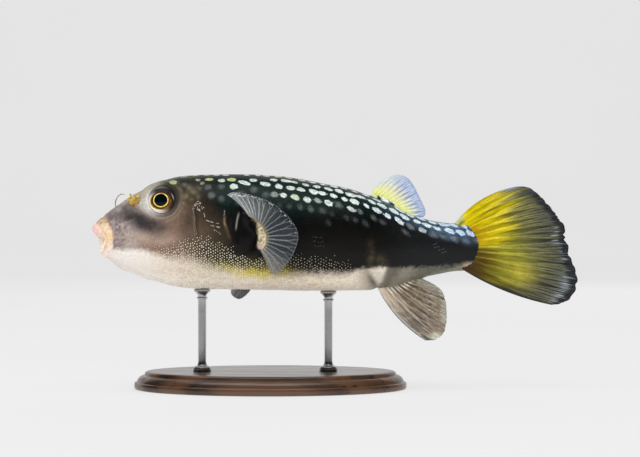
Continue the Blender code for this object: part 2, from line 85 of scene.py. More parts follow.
TAIL_END = np.array([
    (66.0, 64.6, 83.5, 65.4, 59.0, 66.6, 4.9, 71.2),
    (69.6, 66.0, 84.1, 67.8, 59.0, 70.2, 3.0, 71.4),
    (72.4, 66.7, 84.5, 69.0, 59.1, 72.0, 1.7, 71.6),
    (74.0, 66.9, 84.5, 69.3, 59.3, 72.5, 0.9, 71.6),
    (75.0, 66.2, 84.1, 68.6, 59.8, 71.8, 0.25, 71.6),
])


# ------------------------------------------------------------------ curve maths
def pchip(xs, ys, x):
    xs, ys, x = (np.asarray(a, float) for a in (xs, ys, x))
    h = np.diff(xs)
    d = np.diff(ys) / h
    m = np.zeros_like(ys)
    for i in range(1, len(ys) - 1):
        if d[i - 1] * d[i] > 0:
            w1, w2 = 2 * h[i] + h[i - 1], h[i] + 2 * h[i - 1]
            m[i] = (w1 + w2) / (w1 / d[i - 1] + w2 / d[i])
    m[0], m[-1] = d[0], d[-1]
    x = np.clip(x, xs[0], xs[-1])
    k = np.clip(np.searchsorted(xs, x) - 1, 0, len(h) - 1)
    t = (x - xs[k]) / h[k]
    t2, t3 = t * t, t * t * t
    return ((2 * t3 - 3 * t2 + 1) * ys[k] + (t3 - 2 * t2 + t) * h[k] * m[k]
            + (3 * t2 - 2 * t3) * ys[k + 1] + (t3 - t2) * h[k] * m[k + 1])


def through(points, x):
    """A smooth line through (x, value) points, held level past its ends."""
    p = np.array(points, float)
    return pchip(p[:, 0], p[:, 1], x)


def smooth_line(points, n):
    p = np.asarray(points, float)
    ends = np.vstack([2 * p[0] - p[1], p, 2 * p[-1] - p[-2]])
    dense = []
    for i in range(1, len(ends) - 2):
        a, b, c, d = ends[i - 1], ends[i], ends[i + 1], ends[i + 2]
        for t in np.linspace(0, 1, 24, endpoint=False):
            dense.append(0.5 * (2 * b + (c - a) * t + (2 * a - 5 * b + 4 * c - d) * t * t
                                + (3 * b - a - 3 * c + d) * t ** 3))
    dense.append(p[-1])
    dense = np.array(dense)
    along = np.r_[0, np.cumsum(np.linalg.norm(np.diff(dense, axis=0), axis=1))]
    at = np.linspace(0, along[-1], n)
    return np.stack([np.interp(at, along, dense[:, k]) for k in range(dense.shape[1])], 1)


def ease(t):
    t = np.clip(t, 0, 1)
    return t * t * (3 - 2 * t)


def step(a, b, x):
    """0 below a, 1 above b, smooth between (b may lie below a)."""
    return ease((x - a) / (b - a))


def bell(x, width):
    return np.exp(-(x / width) ** 2)


def mix(a, b, t):
    t = np.asarray(t)
    if np.ndim(b) > 0 and t.ndim == np.ndim(a) - 1:
        t = t[..., None]
    return a + (np.asarray(b) - a) * t


def noise(p, size, seed=0):
    """Smooth noise from -1 to 1 at points (..., 3) in mm, about size mm from lump to lump."""
    q = np.asarray(p, float) / size + seed * 7.31
    i = np.floor(q).astype(np.int64)
    f = q - i
    f = f * f * (3 - 2 * f)
    total = 0.0
    for dx in (0, 1):
        for dy in (0, 1):
            for dz in (0, 1):
                a = i[..., 0] + dx
                b = i[..., 1] + dy
                c = i[..., 2] + dz
                n = (a * 73856093) ^ (b * 19349663) ^ (c * 83492791) ^ (seed * 97531)
                n = ((n ^ (n >> 13)) * 1274126177) & 0x7FFFFFFF
                n = ((n ^ (n >> 15)) * 461845907) & 0x7FFFFFFF
                w = ((f[..., 0] if dx else 1 - f[..., 0]) * (f[..., 1] if dy else 1 - f[..., 1])
                     * (f[..., 2] if dz else 1 - f[..., 2]))
                total = total + w * (n / 0x3FFFFFFF - 1.0)
    return total


def rumple(p, size, seed=0, octaves=3):
    total, gain = 0.0, 1.0
    for k in range(octaves):
        total = total + gain * noise(p, size / 2 ** k, seed + 11 * k)
        gain *= 0.5
    return total


def linear(r, g, b):
    """An everyday 0 to 255 colour as the linear numbers that shaders use."""
    c = np.array([r, g, b], float) / 255
    return np.where(c <= 0.04045, c / 12.92, ((c + 0.055) / 1.055) ** 2.4)


# --------------------------------------------------------- the fish's gentle bend
_S = np.linspace(-140, 140, 2801)
_TURN = (HEAD_YAW * ease((_S - NECK[0]) / (NECK[1] - NECK[0]))
         + TAIL_YAW * ease((_S - HIPS[0]) / (HIPS[1] - HIPS[0])))
_MID = int(np.argmin(abs(_S)))
_STEP = _S[1] - _S[0]
_CX = np.r_[0, np.cumsum((np.cos(_TURN[1:]) + np.cos(_TURN[:-1])) / 2 * _STEP)]
_CY = np.r_[0, np.cumsum((np.sin(_TURN[1:]) + np.sin(_TURN[:-1])) / 2 * _STEP)]
_CX, _CY = _CX - _CX[_MID], _CY - _CY[_MID]


def posed(points):
    p = np.asarray(points, float)
    flat = p.reshape(-1, 3)
    turn = np.interp(flat[:, 0], _S, _TURN)
    x = np.interp(flat[:, 0], _S, _CX) - np.sin(turn) * flat[:, 1] + MID_X
    y = np.interp(flat[:, 0], _S, _CY) + np.cos(turn) * flat[:, 1] + MID_Y
    return (np.stack([x, y, flat[:, 2]], 1) * MM).reshape(p.shape)


# -------------------------------------------------------------------- mesh making
def make(name, verts, faces, mats, uv=None, smooth=True):
    """A mesh object; uv, if given, is one (u, v) for each face corner in face order."""
    mesh = bpy.data.meshes.new(name)
    mesh.from_pydata(np.asarray(verts).reshape(-1, 3).tolist(), [],
                     faces.tolist() if hasattr(faces, "tolist") else faces)
    if uv is not None:
        layer = mesh.uv_layers.new(name="OFBake")
        layer.data.foreach_set("uv", np.asarray(uv, np.float32).ravel())
    for m in mats if isinstance(mats, (list, tuple)) else [mats]:
        mesh.materials.append(m)
    if smooth:
        mesh.shade_smooth()
    obj = bpy.data.objects.new(name, mesh)
    bpy.context.scene.collection.objects.link(obj)
    return obj


def paint(obj, name, values):
    """Stores one number or one colour for each vertex."""
    v = np.asarray(values, np.float32)
    mesh = obj.data
    if v.ndim == 1:
        a = mesh.attributes.new(name, "FLOAT", "POINT")
        a.data.foreach_set("value", v)
    else:
        a = mesh.attributes.new(name, "FLOAT_COLOR", "POINT")
        a.data.foreach_set("color", np.hstack([v[:, :3], np.ones((len(v), 1), np.float32)]).ravel())


def grid_faces(a, b, wrap=False, offset=0):
    """Quads over a grid of a rows and b columns, with the row direction first."""
    i, j = np.meshgrid(np.arange(a - 1), np.arange(b if wrap else b - 1), indexing="ij")
    k = (j + 1) % b
    q = np.stack([i * b + j, (i + 1) * b + j, (i + 1) * b + k, i * b + k], -1).reshape(-1, 4)
    return q + offset


def grid_uv(u, v):
    """Corner coordinates to match grid_faces, from u (rows, columns + 1) and v alike."""
    def corners(g):
        return np.stack([g[:-1, :-1], g[1:, :-1], g[1:, 1:], g[:-1, 1:]], -1)
    return np.stack([corners(u), corners(v)], -1).reshape(-1, 2)


def grid_normals(p, wrap):
    if wrap:
        dj = np.roll(p, -1, 1) - np.roll(p, 1, 1)
    else:
        dj = np.gradient(p, axis=1)
    n = np.cross(np.gradient(p, axis=0), dj)
    return n / np.maximum(np.linalg.norm(n, axis=-1, keepdims=True), 1e-9)


def closed(field):
    """A wrapped (rows, columns) field with its first column repeated at the end."""
    return np.concatenate([field, field[:, :1]], 1)


def tube(name, p, mat, u, v, flip=False, attrs=None, pinch=False):
    """A closed surface over rings p (rings, points, 3) in metres, with a fan over each end, or
    for a flat sheet (pinch) a strip of quads. u and v are (rings, points + 1)."""
    a, b = p.shape[:2]
    verts = p.reshape(-1, 3)
    faces = grid_faces(a, b, True)
    uv = grid_uv(u, v).reshape(-1, 4, 2)
    extra, extra_uv = [], []
    j = np.arange(b)
    k = (j + 1) % b
    last = (a - 1) * b
    ends = []
    if pinch:
        h = b // 2
        for off, turn in ((0, True), (last, False)):
            r = 0 if off == 0 else -1
            for i in range(h - 1):
                q = [i, i + 1, b - 2 - i, b - 1 - i]
                q = q if turn else q[::-1]
                extra.append([off + x for x in q])
                extra_uv.append([(u[r, x], v[r, x]) for x in q])
    else:
        for off, turn in ((0, True), (last, False)):
            r = 0 if off == 0 else -1
            middle = len(verts) + len(ends)
            ends.append(p[r].mean(0))
            mu, mv = u[r].mean(), v[r].mean()
            for x in range(b):
                q = [(off + x, u[r, x], v[r, x]), (off + (x + 1) % b, u[r, x + 1], v[r, x + 1]), (middle, mu, mv)]
                q = q if turn else q[::-1]
                extra.append([c[0] for c in q])
                extra_uv.append([(c[1], c[2]) for c in q])
        verts = np.vstack([verts, ends])
    if flip:
        faces, uv = faces[:, ::-1], uv[:, ::-1]
        extra, extra_uv = [f[::-1] for f in extra], [f[::-1] for f in extra_uv]
    uv = np.vstack([uv.reshape(-1, 2), *[np.array(e) for e in extra_uv]])
    obj = make(name, verts, [*faces.tolist(), *extra], mat, uv)
    for key, f in (attrs or {}).items():
        f = np.asarray(f, float)
        wide = f.reshape(a * b, -1)
        if not pinch:
            wide = np.vstack([wide, f[0].reshape(b, -1).mean(0), f[-1].reshape(b, -1).mean(0)])
        paint(obj, key, wide if wide.shape[1] > 1 else wide[:, 0])
    return obj


# ------------------------------------------------------------------ material making
class Nodes:
    """A few words for building a material's nodes."""

    def __init__(self, name, roughness=0.5, **fixed):
        self.m = bpy.data.materials.new(name)
        self.m.use_nodes = True
        self.t = self.m.node_tree
        self.p = self.t.nodes["Principled BSDF"]
        self.p.inputs["Roughness"].default_value = roughness
        for k, v in fixed.items():
            self.p.inputs[k.replace("_", " ")].default_value = v

    def add(self, kind, **values):
        n = self.t.nodes.new(kind)
        for k, v in values.items():
            setattr(n, k, v)
        return n

    def link(self, a, b):
        self.t.links.new(a, b)

    def put(self, socket, value):
        if isinstance(value, bpy.types.NodeSocket):
            self.link(value, socket)
        else:
            socket.default_value = value

    def attribute(self, name, fac=False):
        n = self.add("ShaderNodeAttribute", attribute_name=name)
        return n.outputs["Fac" if fac else "Color"]

    def noise(self, scale, detail=3.0, roughness=0.55, distortion=0.0, coords=None, stretch=None):
        n = self.add("ShaderNodeTexNoise")
        n.inputs["Scale"].default_value = scale
        n.inputs["Detail"].default_value = detail
        n.inputs["Roughness"].default_value = roughness
        n.inputs["Distortion"].default_value = distortion
        self.link(self.coords(stretch), n.inputs["Vector"])
        return n.outputs["Fac"]

    def coords(self, stretch=None):
        c = self.add("ShaderNodeTexCoord").outputs["Object"]
        if stretch is None:
            return c
        m = self.add("ShaderNodeMapping")
        m.inputs["Scale"].default_value = stretch
        self.link(c, m.inputs["Vector"])
        return m.outputs["Vector"]

    def voronoi(self, scale, feature="F1", output="Distance", randomness=1.0, stretch=None):
        n = self.add("ShaderNodeTexVoronoi", feature=feature)
        n.inputs["Scale"].default_value = scale
        n.inputs["Randomness"].default_value = randomness
        self.link(self.coords(stretch), n.inputs["Vector"])
        return n.outputs[output]

    def math(self, op, a, b=0.0, clamp=False):
        n = self.add("ShaderNodeMath", operation=op, use_clamp=clamp)
        self.put(n.inputs[0], a)
        self.put(n.inputs[1], b)
        return n.outputs[0]

    def span(self, value, a, b, lo=0.0, hi=1.0, smooth=True):
        n = self.add("ShaderNodeMapRange", interpolation_type="SMOOTHSTEP" if smooth else "LINEAR")
        self.put(n.inputs["Value"], value)
        for k, v in (("From Min", a), ("From Max", b), ("To Min", lo), ("To Max", hi)):
            self.put(n.inputs[k], v)
        return n.outputs["Result"]

    def mix(self, fac, a, b, blend="MIX"):
        n = self.add("ShaderNodeMix", data_type="RGBA", blend_type=blend)
        self.put(n.inputs[0], fac)
        for socket, v in ((n.inputs[6], a), (n.inputs[7], b)):
            self.put(socket, v if isinstance(v, bpy.types.NodeSocket) else (*v, 1.0))
        return n.outputs[2]

    def bump(self, height, distance, strength=1.0, normal=None):
        n = self.add("ShaderNodeBump")
        n.inputs["Strength"].default_value = strength
        n.inputs["Distance"].default_value = distance
        self.link(height, n.inputs["Height"])
        if normal is not None:
            self.link(normal, n.inputs["Normal"])
        return n.outputs["Normal"]

    def to(self, **sockets):
        for k, v in sockets.items():
            self.link(v, self.p.inputs[k.replace("_", " ")])
        return self


# ============================================================================ SKIN
def ring_rows():
    """Every control ring in one table: place, then nine numbers."""
    rows = [(*r, 2.1, 2.1) for r in MOUTH]
    for x, top, bottom, w, share, nt, nb in SECTIONS:
        rows.append((x, x, top, x, bottom, x, w, bottom + share * (top - bottom), nt, nb))
    rows += [(*r, 2.05, 2.0) for r in TAIL_END]
    return np.array(rows)


ROWS = ring_rows()
HALF = 128            # quads from the belly's middle line up to the back's
# Distance between rings along the body: place, spacing.
SPACING = [(-137.0, 1.6), (-132.4, 0.9), (-130.8, 0.33), (-113.0, 0.34), (-108.0, 0.38), (-98.0, 0.36),
           (-76.0, 0.38), (-72.0, 0.44), (-46.0, 0.46), (-42.0, 0.50), (-28.0, 0.50), (-24.0, 1.2),
           (12.0, 1.3), (17.0, 0.95), (46.0, 1.0), (60.0, 0.80), (70.0, 0.5), (75.0, 0.5)]


def ring_places():
    fine = np.linspace(ROWS[0, 0], ROWS[-1, 0], 6000)
    count = np.r_[0, np.cumsum(np.diff(fine) / np.interp(fine[1:], *zip(*SPACING)))]
    return np.interp(np.arange(0, int(count[-1]) + 1) * count[-1] / int(count[-1]), count, fine)


PLACES = ring_places()
PARAMS = np.stack([pchip(ROWS[:, 0], ROWS[:, k], PLACES) for k in range(1, 10)], 1)


def outline(row, place):
    """Half a ring, from the belly's middle line to the back's: share of the way, x, y, z."""
    xt, zt, xb, zb, xs, ys, zs, nt, nb = row
    t = np.linspace(0, math.pi, 601)
    s, c = np.sin(t).clip(0, 1), np.abs(np.cos(t))
    low = t < math.pi / 2
    e = np.where(low, 2 / nb, 2 / nt)
    y = ys * s ** e
    z = np.where(low, zs - (zs - zb) * c ** e, zs + (zt - zs) * c ** e)
    along = np.r_[0, np.cumsum(np.hypot(np.diff(y), np.diff(z)))]
    share = along / along[-1]
    near_eye = bell(place - EYE_X, 13.0)
    crowd = 1 + 1.1 * near_eye * bell(share - 0.70, 0.13)
    crowd += 0.7 * bell(place + 36, 9.0) * bell(share - 0.50, 0.13)
    count = np.r_[0, np.cumsum((crowd[1:] + crowd[:-1]) / 2 * np.diff(share))]
    at = np.interp(np.linspace(0, count[-1], HALF + 1), count, along)
    y, z = np.interp(at, along, y), np.interp(at, along, z)
    up = np.where(z > zs, (z - zs) / (zt - zs), 0).clip(0, 1) ** 1.6
    down = np.where(z < zs, (zs - z) / (zs - zb), 0).clip(0, 1) ** 1.6
    return at, xs + (xt - xs) * up + (xb - xs) * down, y, z


def base_skin():
    """Skin points (rings, 2 * HALF, 3) before any relief, and their arc from the back's middle
    line, left flank negative."""
    pts, arcs = [], []
    for row, place in zip(PARAMS, PLACES):
        at, x, y, z = outline(row, place)
        left = np.stack([x, -y, z], 1)
        right = np.stack([x, y, z], 1)[-2:0:-1]
        pts.append(np.vstack([left, right]))
        arcs.append(np.r_[at - at[-1], (at[-1] - at)[-2:0:-1]])
    return np.array(pts), np.array(arcs)


BASE, ARC = base_skin()
NR, NV = BASE.shape[:2]
SIDE = np.where(np.arange(NV) <= HALF, -1.0, 1.0)[None, :] * np.ones((NR, 1))
S = PLACES[:, None] * np.ones((1, NV))
BX, BY, BZ = BASE[..., 0], BASE[..., 1], BASE[..., 2]
NORMAL = grid_normals(BASE, True)


def flank_y(x, z):
    """Half width of the body at this x and height, for one point or many."""
    k = [pchip(SECTIONS[:, 0], SECTIONS[:, c], x) for c in range(1, 7)]
    level = k[1] + k[3] * (k[0] - k[1])
    r = np.where(z > level, (z - level) / (k[0] - level), (level - z) / (level - k[1])).clip(0, 1)
    n = np.where(z > level, k[4], k[5])
    return k[2] * (1 - r ** n) ** (1 / n)


# Pectoral root lines: x, distance from the middle plane, z.
PECTORAL_ROOT = {
    -1: [(-42.2, 29.5, 86.4), (-38.2, 30.6, 84.4), (-34.8, 31.6, 81.0), (-33.0, 32.2, 76.8),
         (-33.4, 32.0, 72.6), (-35.8, 31.0, 68.8)],
    1: [(-38.4, 29.8, 84.6), (-36.4, 31.0, 81.6), (-35.2, 32.0, 77.4), (-35.2, 32.2, 73.0),
        (-36.4, 31.4, 69.0), (-38.6, 29.8, 65.6)],
}


def nearest_on(line, x, z, chunk=40000):
    """For points x, z: distance to a line of (x, z) points, share along it, and which side
    of it they are on (positive on its left as it runs)."""
    x, z = x.ravel(), z.ravel()
    d, share, side = np.empty_like(x), np.empty_like(x), np.empty_like(x)
    a, b = line[:-1], line[1:]
    ab = b - a
    L = (ab ** 2).sum(1)
    for i in range(0, len(x), chunk):
        p = np.stack([x[i:i + chunk], z[i:i + chunk]], 1)
        ap = p[:, None] - a[None]
        t = ((ap * ab).sum(2) / L).clip(0, 1)
        off = ap - ab * t[..., None]
        dist = np.hypot(off[..., 0], off[..., 1])
        k = dist.argmin(1)
        r = np.arange(len(p))
        d[i:i + chunk] = dist[r, k]
        share[i:i + chunk] = (k + t[r, k]) / len(a)
        side[i:i + chunk] = np.sign(ab[k, 0] * ap[r, k, 1] - ab[k, 1] * ap[r, k, 0])
    return d, share, side


def relief():
    """Pushes the plain skin out and in for its fins, gill openings, folds and eye sockets.
    Returns the points and some measures that the colours need."""
    P = BASE.copy()
    shape = (NR, NV)
    lobe = np.zeros(shape)
    lobe_front = np.zeros(shape)

    # The fleshy lobe under each pectoral fin: a long slope in front, steep behind.
    for side, root in PECTORAL_ROOT.items():
        line = smooth_line(root, 41)
        d, share, where = (v.reshape(shape) for v in nearest_on(line[:, [0, 2]], BX, BZ))
        mine = (SIDE == side) & (abs(S + 36) < 20)
        front = where < 0
        out = np.interp(share, np.linspace(0, 1, 41), line[:, 1] - flank_y(line[:, 0], line[:, 2]))
        reach = np.where(front, 6.6, 2.1)
        rise = (1 - step(0.55, 1.0, d / reach * 0.55 + 0.45)) * mine
        rise = np.where(d < 0.5, 1.0 * mine, rise)
        ends = 0.35 + 0.65 * step(0.0, 0.22, share) * (1 - step(0.86, 1.0, share))
        rise = rise * ends
        P[..., 1] += side * rise * (out - 0.1)
        P[..., 0] -= rise * 0.4
        lobe = np.maximum(lobe, rise)
        along = step(0.04, 0.14, share) * (1 - step(0.95, 1.0, share))
        broad = through([(0.0, 0.5), (0.2, 0.9), (0.4, 3.4), (0.6, 5.2), (0.8, 5.1), (1.0, 3.6)], share)
        strip = mine * np.where(front, 1 - step(-1.5, 1.1, d - broad + 0.8 * noise(BASE, 1.1, 6) + 0.4 * noise(BASE, 2.6, 9)), 1 - step(0.8, 1.8, d))
        lobe_front = np.maximum(lobe_front, strip * step(0.18, 0.50, rise) * along)
        # the pit in front of it, where the fin folds back
        pit_line = line[:, [0, 2]] + np.array([-8.6, 0.0])
        dp, sp, _ = (v.reshape(shape) for v in nearest_on(pit_line, BX, BZ))
        P[..., 1] -= side * 1.1 * bell(dp, 3.4) * mine

    # The gill opening: a short upright slit with a soft lip in front.
    zz = BZ - 82.0
    slit_x = -47.9 + 0.012 * zz ** 2 + 0.15 * zz
    across = BX - slit_x
    tall = step(72.0, 76.0, BZ) * (1 - step(89.0, 92.0, BZ))
    gill = bell(across, 0.75) * tall
    P -= NORMAL * (0.7 * gill)[..., None]
    P += NORMAL * (0.45 * bell(across + 2.4, 1.9) * step(68.0, 75.0, BZ) * (1 - step(89.0, 95.0, BZ)))[..., None]
    # the gill cover's edge, further forward
    cover = bell(BX + 52.6 + 0.02 * (BZ - 80) ** 2 * 0.3, 1.3) * step(66.0, 74.0, BZ) * (1 - step(88.0, 95.0, BZ))
    P += NORMAL * (0.45 * cover)[..., None]
    P -= NORMAL * (0.35 * bell(BX + 49.9 + 0.006 * (BZ - 80) ** 2, 0.8) * tall)[..., None]

    # Low sheaths at the roots of the fins on the middle line.
    ridge = bell(BY, 2.0) * (BZ > 80) * step(16.8, 21.0, BX) * (1 - step(27.6, 34.0, BX))
    P[..., 2] += 2.6 * ridge
    keel = bell(BY, 2.0) * (BZ < 62) * step(21.0, 25.0, BX) * (1 - step(42.0, 48.0, BX))
    P[..., 2] -= 0.7 * keel
    vent = bell(BY, 1.5) * (BZ < 56) * bell(BX - 22.0, 1.3)
    P[..., 2] -= 0.5 * bell(BY, 3.0) * (BZ < 56) * bell(BX - 21.0, 3.0)
    P[..., 2] += 1.0 * vent

    # The pale cone of skin that narrows down to the vent, between a crease before it and a
    # softer one behind.
    low = step(62.5, 58.5, BZ) * step(20.0, 6.0, abs(BY))
    fore = BX - (20.9 - 0.50 * (BZ - 51.9))
    aft = BX - (25.6 + 0.42 * (BZ - 51.9))
    P += NORMAL * ((0.30 * bell(fore + 5.8, 3.6) - 0.70 * bell(fore + 1.0, 2.1) - 0.60 * bell(aft + 0.2, 2.8)
                    + 0.80 * step(-1.0, 4.0, fore) * step(0.6, -5.0, aft)) * low)[..., None]

    # Soft folds: behind the eye, on the cheek and throat, and down the belly's sides.
    head = 1 - step(-70.0, -50.0, BX)
    wave = rumple(np.stack([BX, BY * 0.5, BZ * 0.45], -1), 5.0, 3)
    P += NORMAL * (0.16 * wave * head * step(-113.0, -106.0, BX))[..., None]
    throat = step(66.0, 58.0, BZ) * step(-113.0, -104.0, BX) * (1 - step(-60.0, -40.0, BX))
    P += NORMAL * (0.12 * np.sin(BY * 1.25 + 1.4 * noise(BASE, 14, 5)) * throat)[..., None]
    P += NORMAL * (0.22 * rumple(BASE, 11.0, 8, 2) * step(-106.0, -96.0, BX) * (1 - step(55.0, 66.0, BX)))[..., None]
    for side in (-1, 1):
        for pts, deep, wide in (
                ([(-72.0, 91.0), (-71.3, 86.2), (-70.8, 81.6), (-70.1, 78.0), (-69.8, 74.6)], 0.42, 0.50),
                ([(-75.4, 96.4), (-76.8, 92.6), (-79.4, 89.6), (-82.6, 87.4)], 0.30, 0.6),
                ([(-77.0, 90.0), (-78.6, 86.2), (-82.0, 83.2), (-86.6, 81.6), (-91.0, 81.8)], 0.34, 0.60),
                ([(-79.6, 84.6), (-83.2, 81.4), (-87.6, 79.8)], 0.24, 0.6),
                ([(-98.8, 88.0), (-96.2, 85.0), (-92.0, 83.4), (-88.0, 83.4)], 0.24, 0.6),
                ([(-101.5, 91.0), (-99.0, 93.6), (-97.6, 96.4)], 0.34, 0.7),
                ([(-106.8, 83.0), (-104.8, 79.0), (-104.6, 74.5), (-106.2, 70.6)], 0.34, 0.6),
                ([(-109.4, 82.4), (-107.6, 79.2), (-107.2, 75.0), (-108.4, 71.4)], 0.22, 0.5),
                ([(-110.6, 71.4), (-107.4, 69.4), (-103.9, 68.6), (-100.0, 68.8)], 0.36, 0.6),
                ([(-58.4, 87.0), (-57.2, 82.0), (-57.4, 77.0)], 0.22, 0.6)):
            line = smooth_line(np.array(pts) + (0.5 * (side > 0), 0.0), 30)
            d, share, _ = (v.reshape(shape) for v in nearest_on(line, BX, BZ))
            ends = step(0.0, 0.15, share) * (1 - step(0.85, 1.0, share))
            P -= NORMAL * (deep * bell(d, wide) * ends * (SIDE == side))[..., None]
            P += NORMAL * (deep * 0.6 * bell(d - 1.5 * wide, wide) * ends * (SIDE == side))[..., None]

    # Puckers in the lips and small lumps on the snout.
    mouth = step(-113.6, -115.2, S) * step(-132.0, -130.0, S)
    P += NORMAL * ((0.10 * np.sin(ARC * 2.6 + 2.2 * noise(BASE, 3.0, 12)) + 0.16 * noise(BASE, 1.9, 13)) * mouth)[..., None]
    snout = step(-98.0, -103.0, BX) * step(-115.0, -113.6, S)
    P += NORMAL * ((0.13 * noise(BASE, 1.5, 14) + 0.10 * noise(BASE, 0.9, 16)) * snout * step(66.0, 72.0, BZ))[..., None]

    # Nostril mounds.
    for side in (-1, 1):
        nx, nz = (-99.3, 91.0) if side < 0 else (-102.4, 89.0)
        r = np.sqrt((BX - nx) ** 2 + (BZ - nz) ** 2 + (BY - side * flank_y(nx, nz)) ** 2)
        P += NORMAL * (0.9 * bell(r, 2.0))[..., None]

    # Eye sockets: the skin rises to a soft rim, turns in at a lid's edge and passes
    # behind the eyeball.
    eye_r = np.full(shape, 99.0)
    eye_a = np.zeros(shape)
    for side in (-1, 1):
        C, out, fore, up = eye_frame(side)
        d = P - C
        h = d @ out
        flat = d - h[..., None] * out
        r = np.linalg.norm(flat, axis=-1)
        mine = (SIDE == side) & (h > -7.0) & (r < 15.0)
        a = np.arctan2(flat @ up, flat @ fore)
        top = 2.75 + 0.12 * np.sin(a) - 0.10 * np.cos(a)
        w = 1 - step(7.4, 12.8, r)
        rim = (0.34 * bell(r - 8.5, 0.95) - 0.34 * bell(r - 10.1, 0.55) + 0.26 * bell(r - 11.3, 0.75)
               - 0.20 * bell(r - 12.5, 0.5) * (0.5 - 0.5 * np.sin(a)))
        rim *= (0.75 + 0.25 * noise(P, 4.0, 21)) * (1 - 0.45 * (0.5 - 0.5 * np.sin(a)))
        outer = h + w * (top - h) + rim
        t = (1 - r / 7.4).clip(0, 1)
        path = np.array([(0.00, 7.40, 0.13), (0.05, 7.10, 0.22), (0.11, 6.86, 0.16), (0.17, 6.74, -0.08),
                         (0.25, 6.88, -0.55), (0.38, 7.85, -2.1), (0.55, 7.9, -5.2), (0.75, 5.0, -7.6),
                         (1.0, 0.0, -8.4)])
        r2 = np.interp(t, path[:, 0], path[:, 1])
        h2 = top + np.interp(t, path[:, 0], path[:, 2])
        unit = flat / np.maximum(r, 1e-6)[..., None]
        inner = C + unit * r2[..., None] + out * h2[..., None]
        outside = P + out * (outer - h)[..., None]
        new = np.where((r < 7.4)[..., None], inner, outside)
        P = np.where(mine[..., None], new, P)
        eye_r = np.where(mine, r, eye_r)
        eye_a = np.where(mine, a, eye_a)
    return P, {"lobe": lobe, "strip": lobe_front, "gill": gill, "cover": cover, "across": across,
               "tall": tall, "ridge": ridge, "vent": vent, "eye_r": eye_r, "eye_a": eye_a}


def eye_frame(side):
    """Eye centre and its axes (out, forward, up) on the straight fish."""
    C = np.array([EYE_X, side * EYE_Y, EYE_Z])
    out = np.array([-math.sin(EYE_FORWARD) * math.cos(EYE_UP), side * math.cos(EYE_FORWARD) * math.cos(EYE_UP),
                    math.sin(EYE_UP)])
    up = np.array([0, 0, 1.0]) - out * out[2]
    up /= np.linalg.norm(up)
    fore = np.cross(up, out) * side
    fore *= np.sign(-fore[0])
    return C, out, fore, up


SKIN, MEASURE = relief()

# ------------------------------------------------------------------------ markings
BELLY_LINE = [(-113, 68.2), (-109.2, 69.2), (-105.8, 69.3), (-98, 69.3), (-91.0, 68.0), (-82.9, 66.4),
              (-70.7, 63.6), (-58.5, 61.2), (-46.3, 58.8), (-35.6, 57.2), (-19.5, 57.2), (2.5, 57.3),
              (8.4, 58.0), (15.2, 60.0), (20.6, 60.7), (31.8, 60.4), (46.4, 60.8), (61.1, 62.2), (70, 63)]
BELLY_SOFT = [(-113, 1.1), (-106, 1.6), (-90, 2.6), (-70, 4.2), (-40, 3.6), (-10, 3.3), (6, 2.6), (14, 1.5), (30, 1.2), (60, 1.6)]
SPOT_LINE = [(-86, 107.0), (-74, 104.5), (-62, 102.4), (-42, 99.6), (-27, 96.6), (-8, 93.6), (2, 92.2),
             (8, 90.4), (17.3, 88.4), (23.6, 86.6), (34, 84.2), (41, 82.2), (50.6, 80.2), (56, 79.0), (61, 76.8),
             (66, 75.8)]
SPOT_DIM = [(-30, -8.5), (6, -9.8), (18, -5.6), (34, -4.8), (60, -3.8)]      # how far below it dim spots go


def arc_at(x, z):
    """Where height z falls on the left flank's ring at x, as arc from the back's middle."""
    i = int(np.interp(x, PLACES, np.arange(NR)))
    return float(np.interp(z, BZ[i, HALF // 3:HALF + 1], ARC[i, HALF // 3:HALF + 1]))


# Spots over the nape of the left side: x, z, half length, half width, lean, strength, tone.
NAPE = [(-81.0, 102.4, 1.7, 2.4, 0.1, 0.85, 0.95), (-76.0, 101.6, 1.3, 1.6, 0.0, 0.16, 0.5),
        (-68.6, 104.0, 1.5, 1.3, 0.0, 0.55, 0.6), (-66.6, 102.3, 1.3, 1.3, 0.0, 0.40, 0.85),
        (-62.9, 104.2, 2.1, 1.6, 0.1, 0.95, 0.92), (-56.6, 103.7, 1.8, 1.7, 0.0, 0.85, 0.3),
        (-51.4, 104.1, 2.2, 1.7, 0.0, 1.0, 0.95), (-50.3, 100.7, 2.2, 2.0, 0.0, 1.0, 0.2),
        (-45.0, 102.6, 3.1, 1.6, 0.30, 0.95, 0.75), (-40.2, 103.9, 2.3, 1.6, 0.0, 0.9, 0.3),
        (-34.2, 101.9, 2.7, 1.7, 0.25, 0.95, 0.4), (-63.8, 100.3, 1.9, 2.1, 0.0, 0.15, 0.1),
        (-56.8, 100.6, 1.8, 1.8, 0.0, 0.12, 0.1), (-62.0, 96.2, 1.9, 2.1, 0.0, 0.17, 0.1),
        (-56.9, 94.4, 1.8, 1.9, 0.0, 0.11, 0.1), (-40.0, 99.2, 1.8, 2.2, 0.0, 0.16, 0.1),
        (-46.8, 97.6, 2.0, 1.5, 0.0, 0.10, 0.1), (-34.0, 96.6, 1.8, 2.0, 0.0, 0.11, 0.1)]


def height_at(x, arc):
    """Height of the back at x, this far round from its middle line."""
    i = int(np.interp(x, PLACES, np.arange(NR)))
    return float(np.interp(-abs(arc), ARC[i, :HALF + 1], BZ[i, :HALF + 1]))


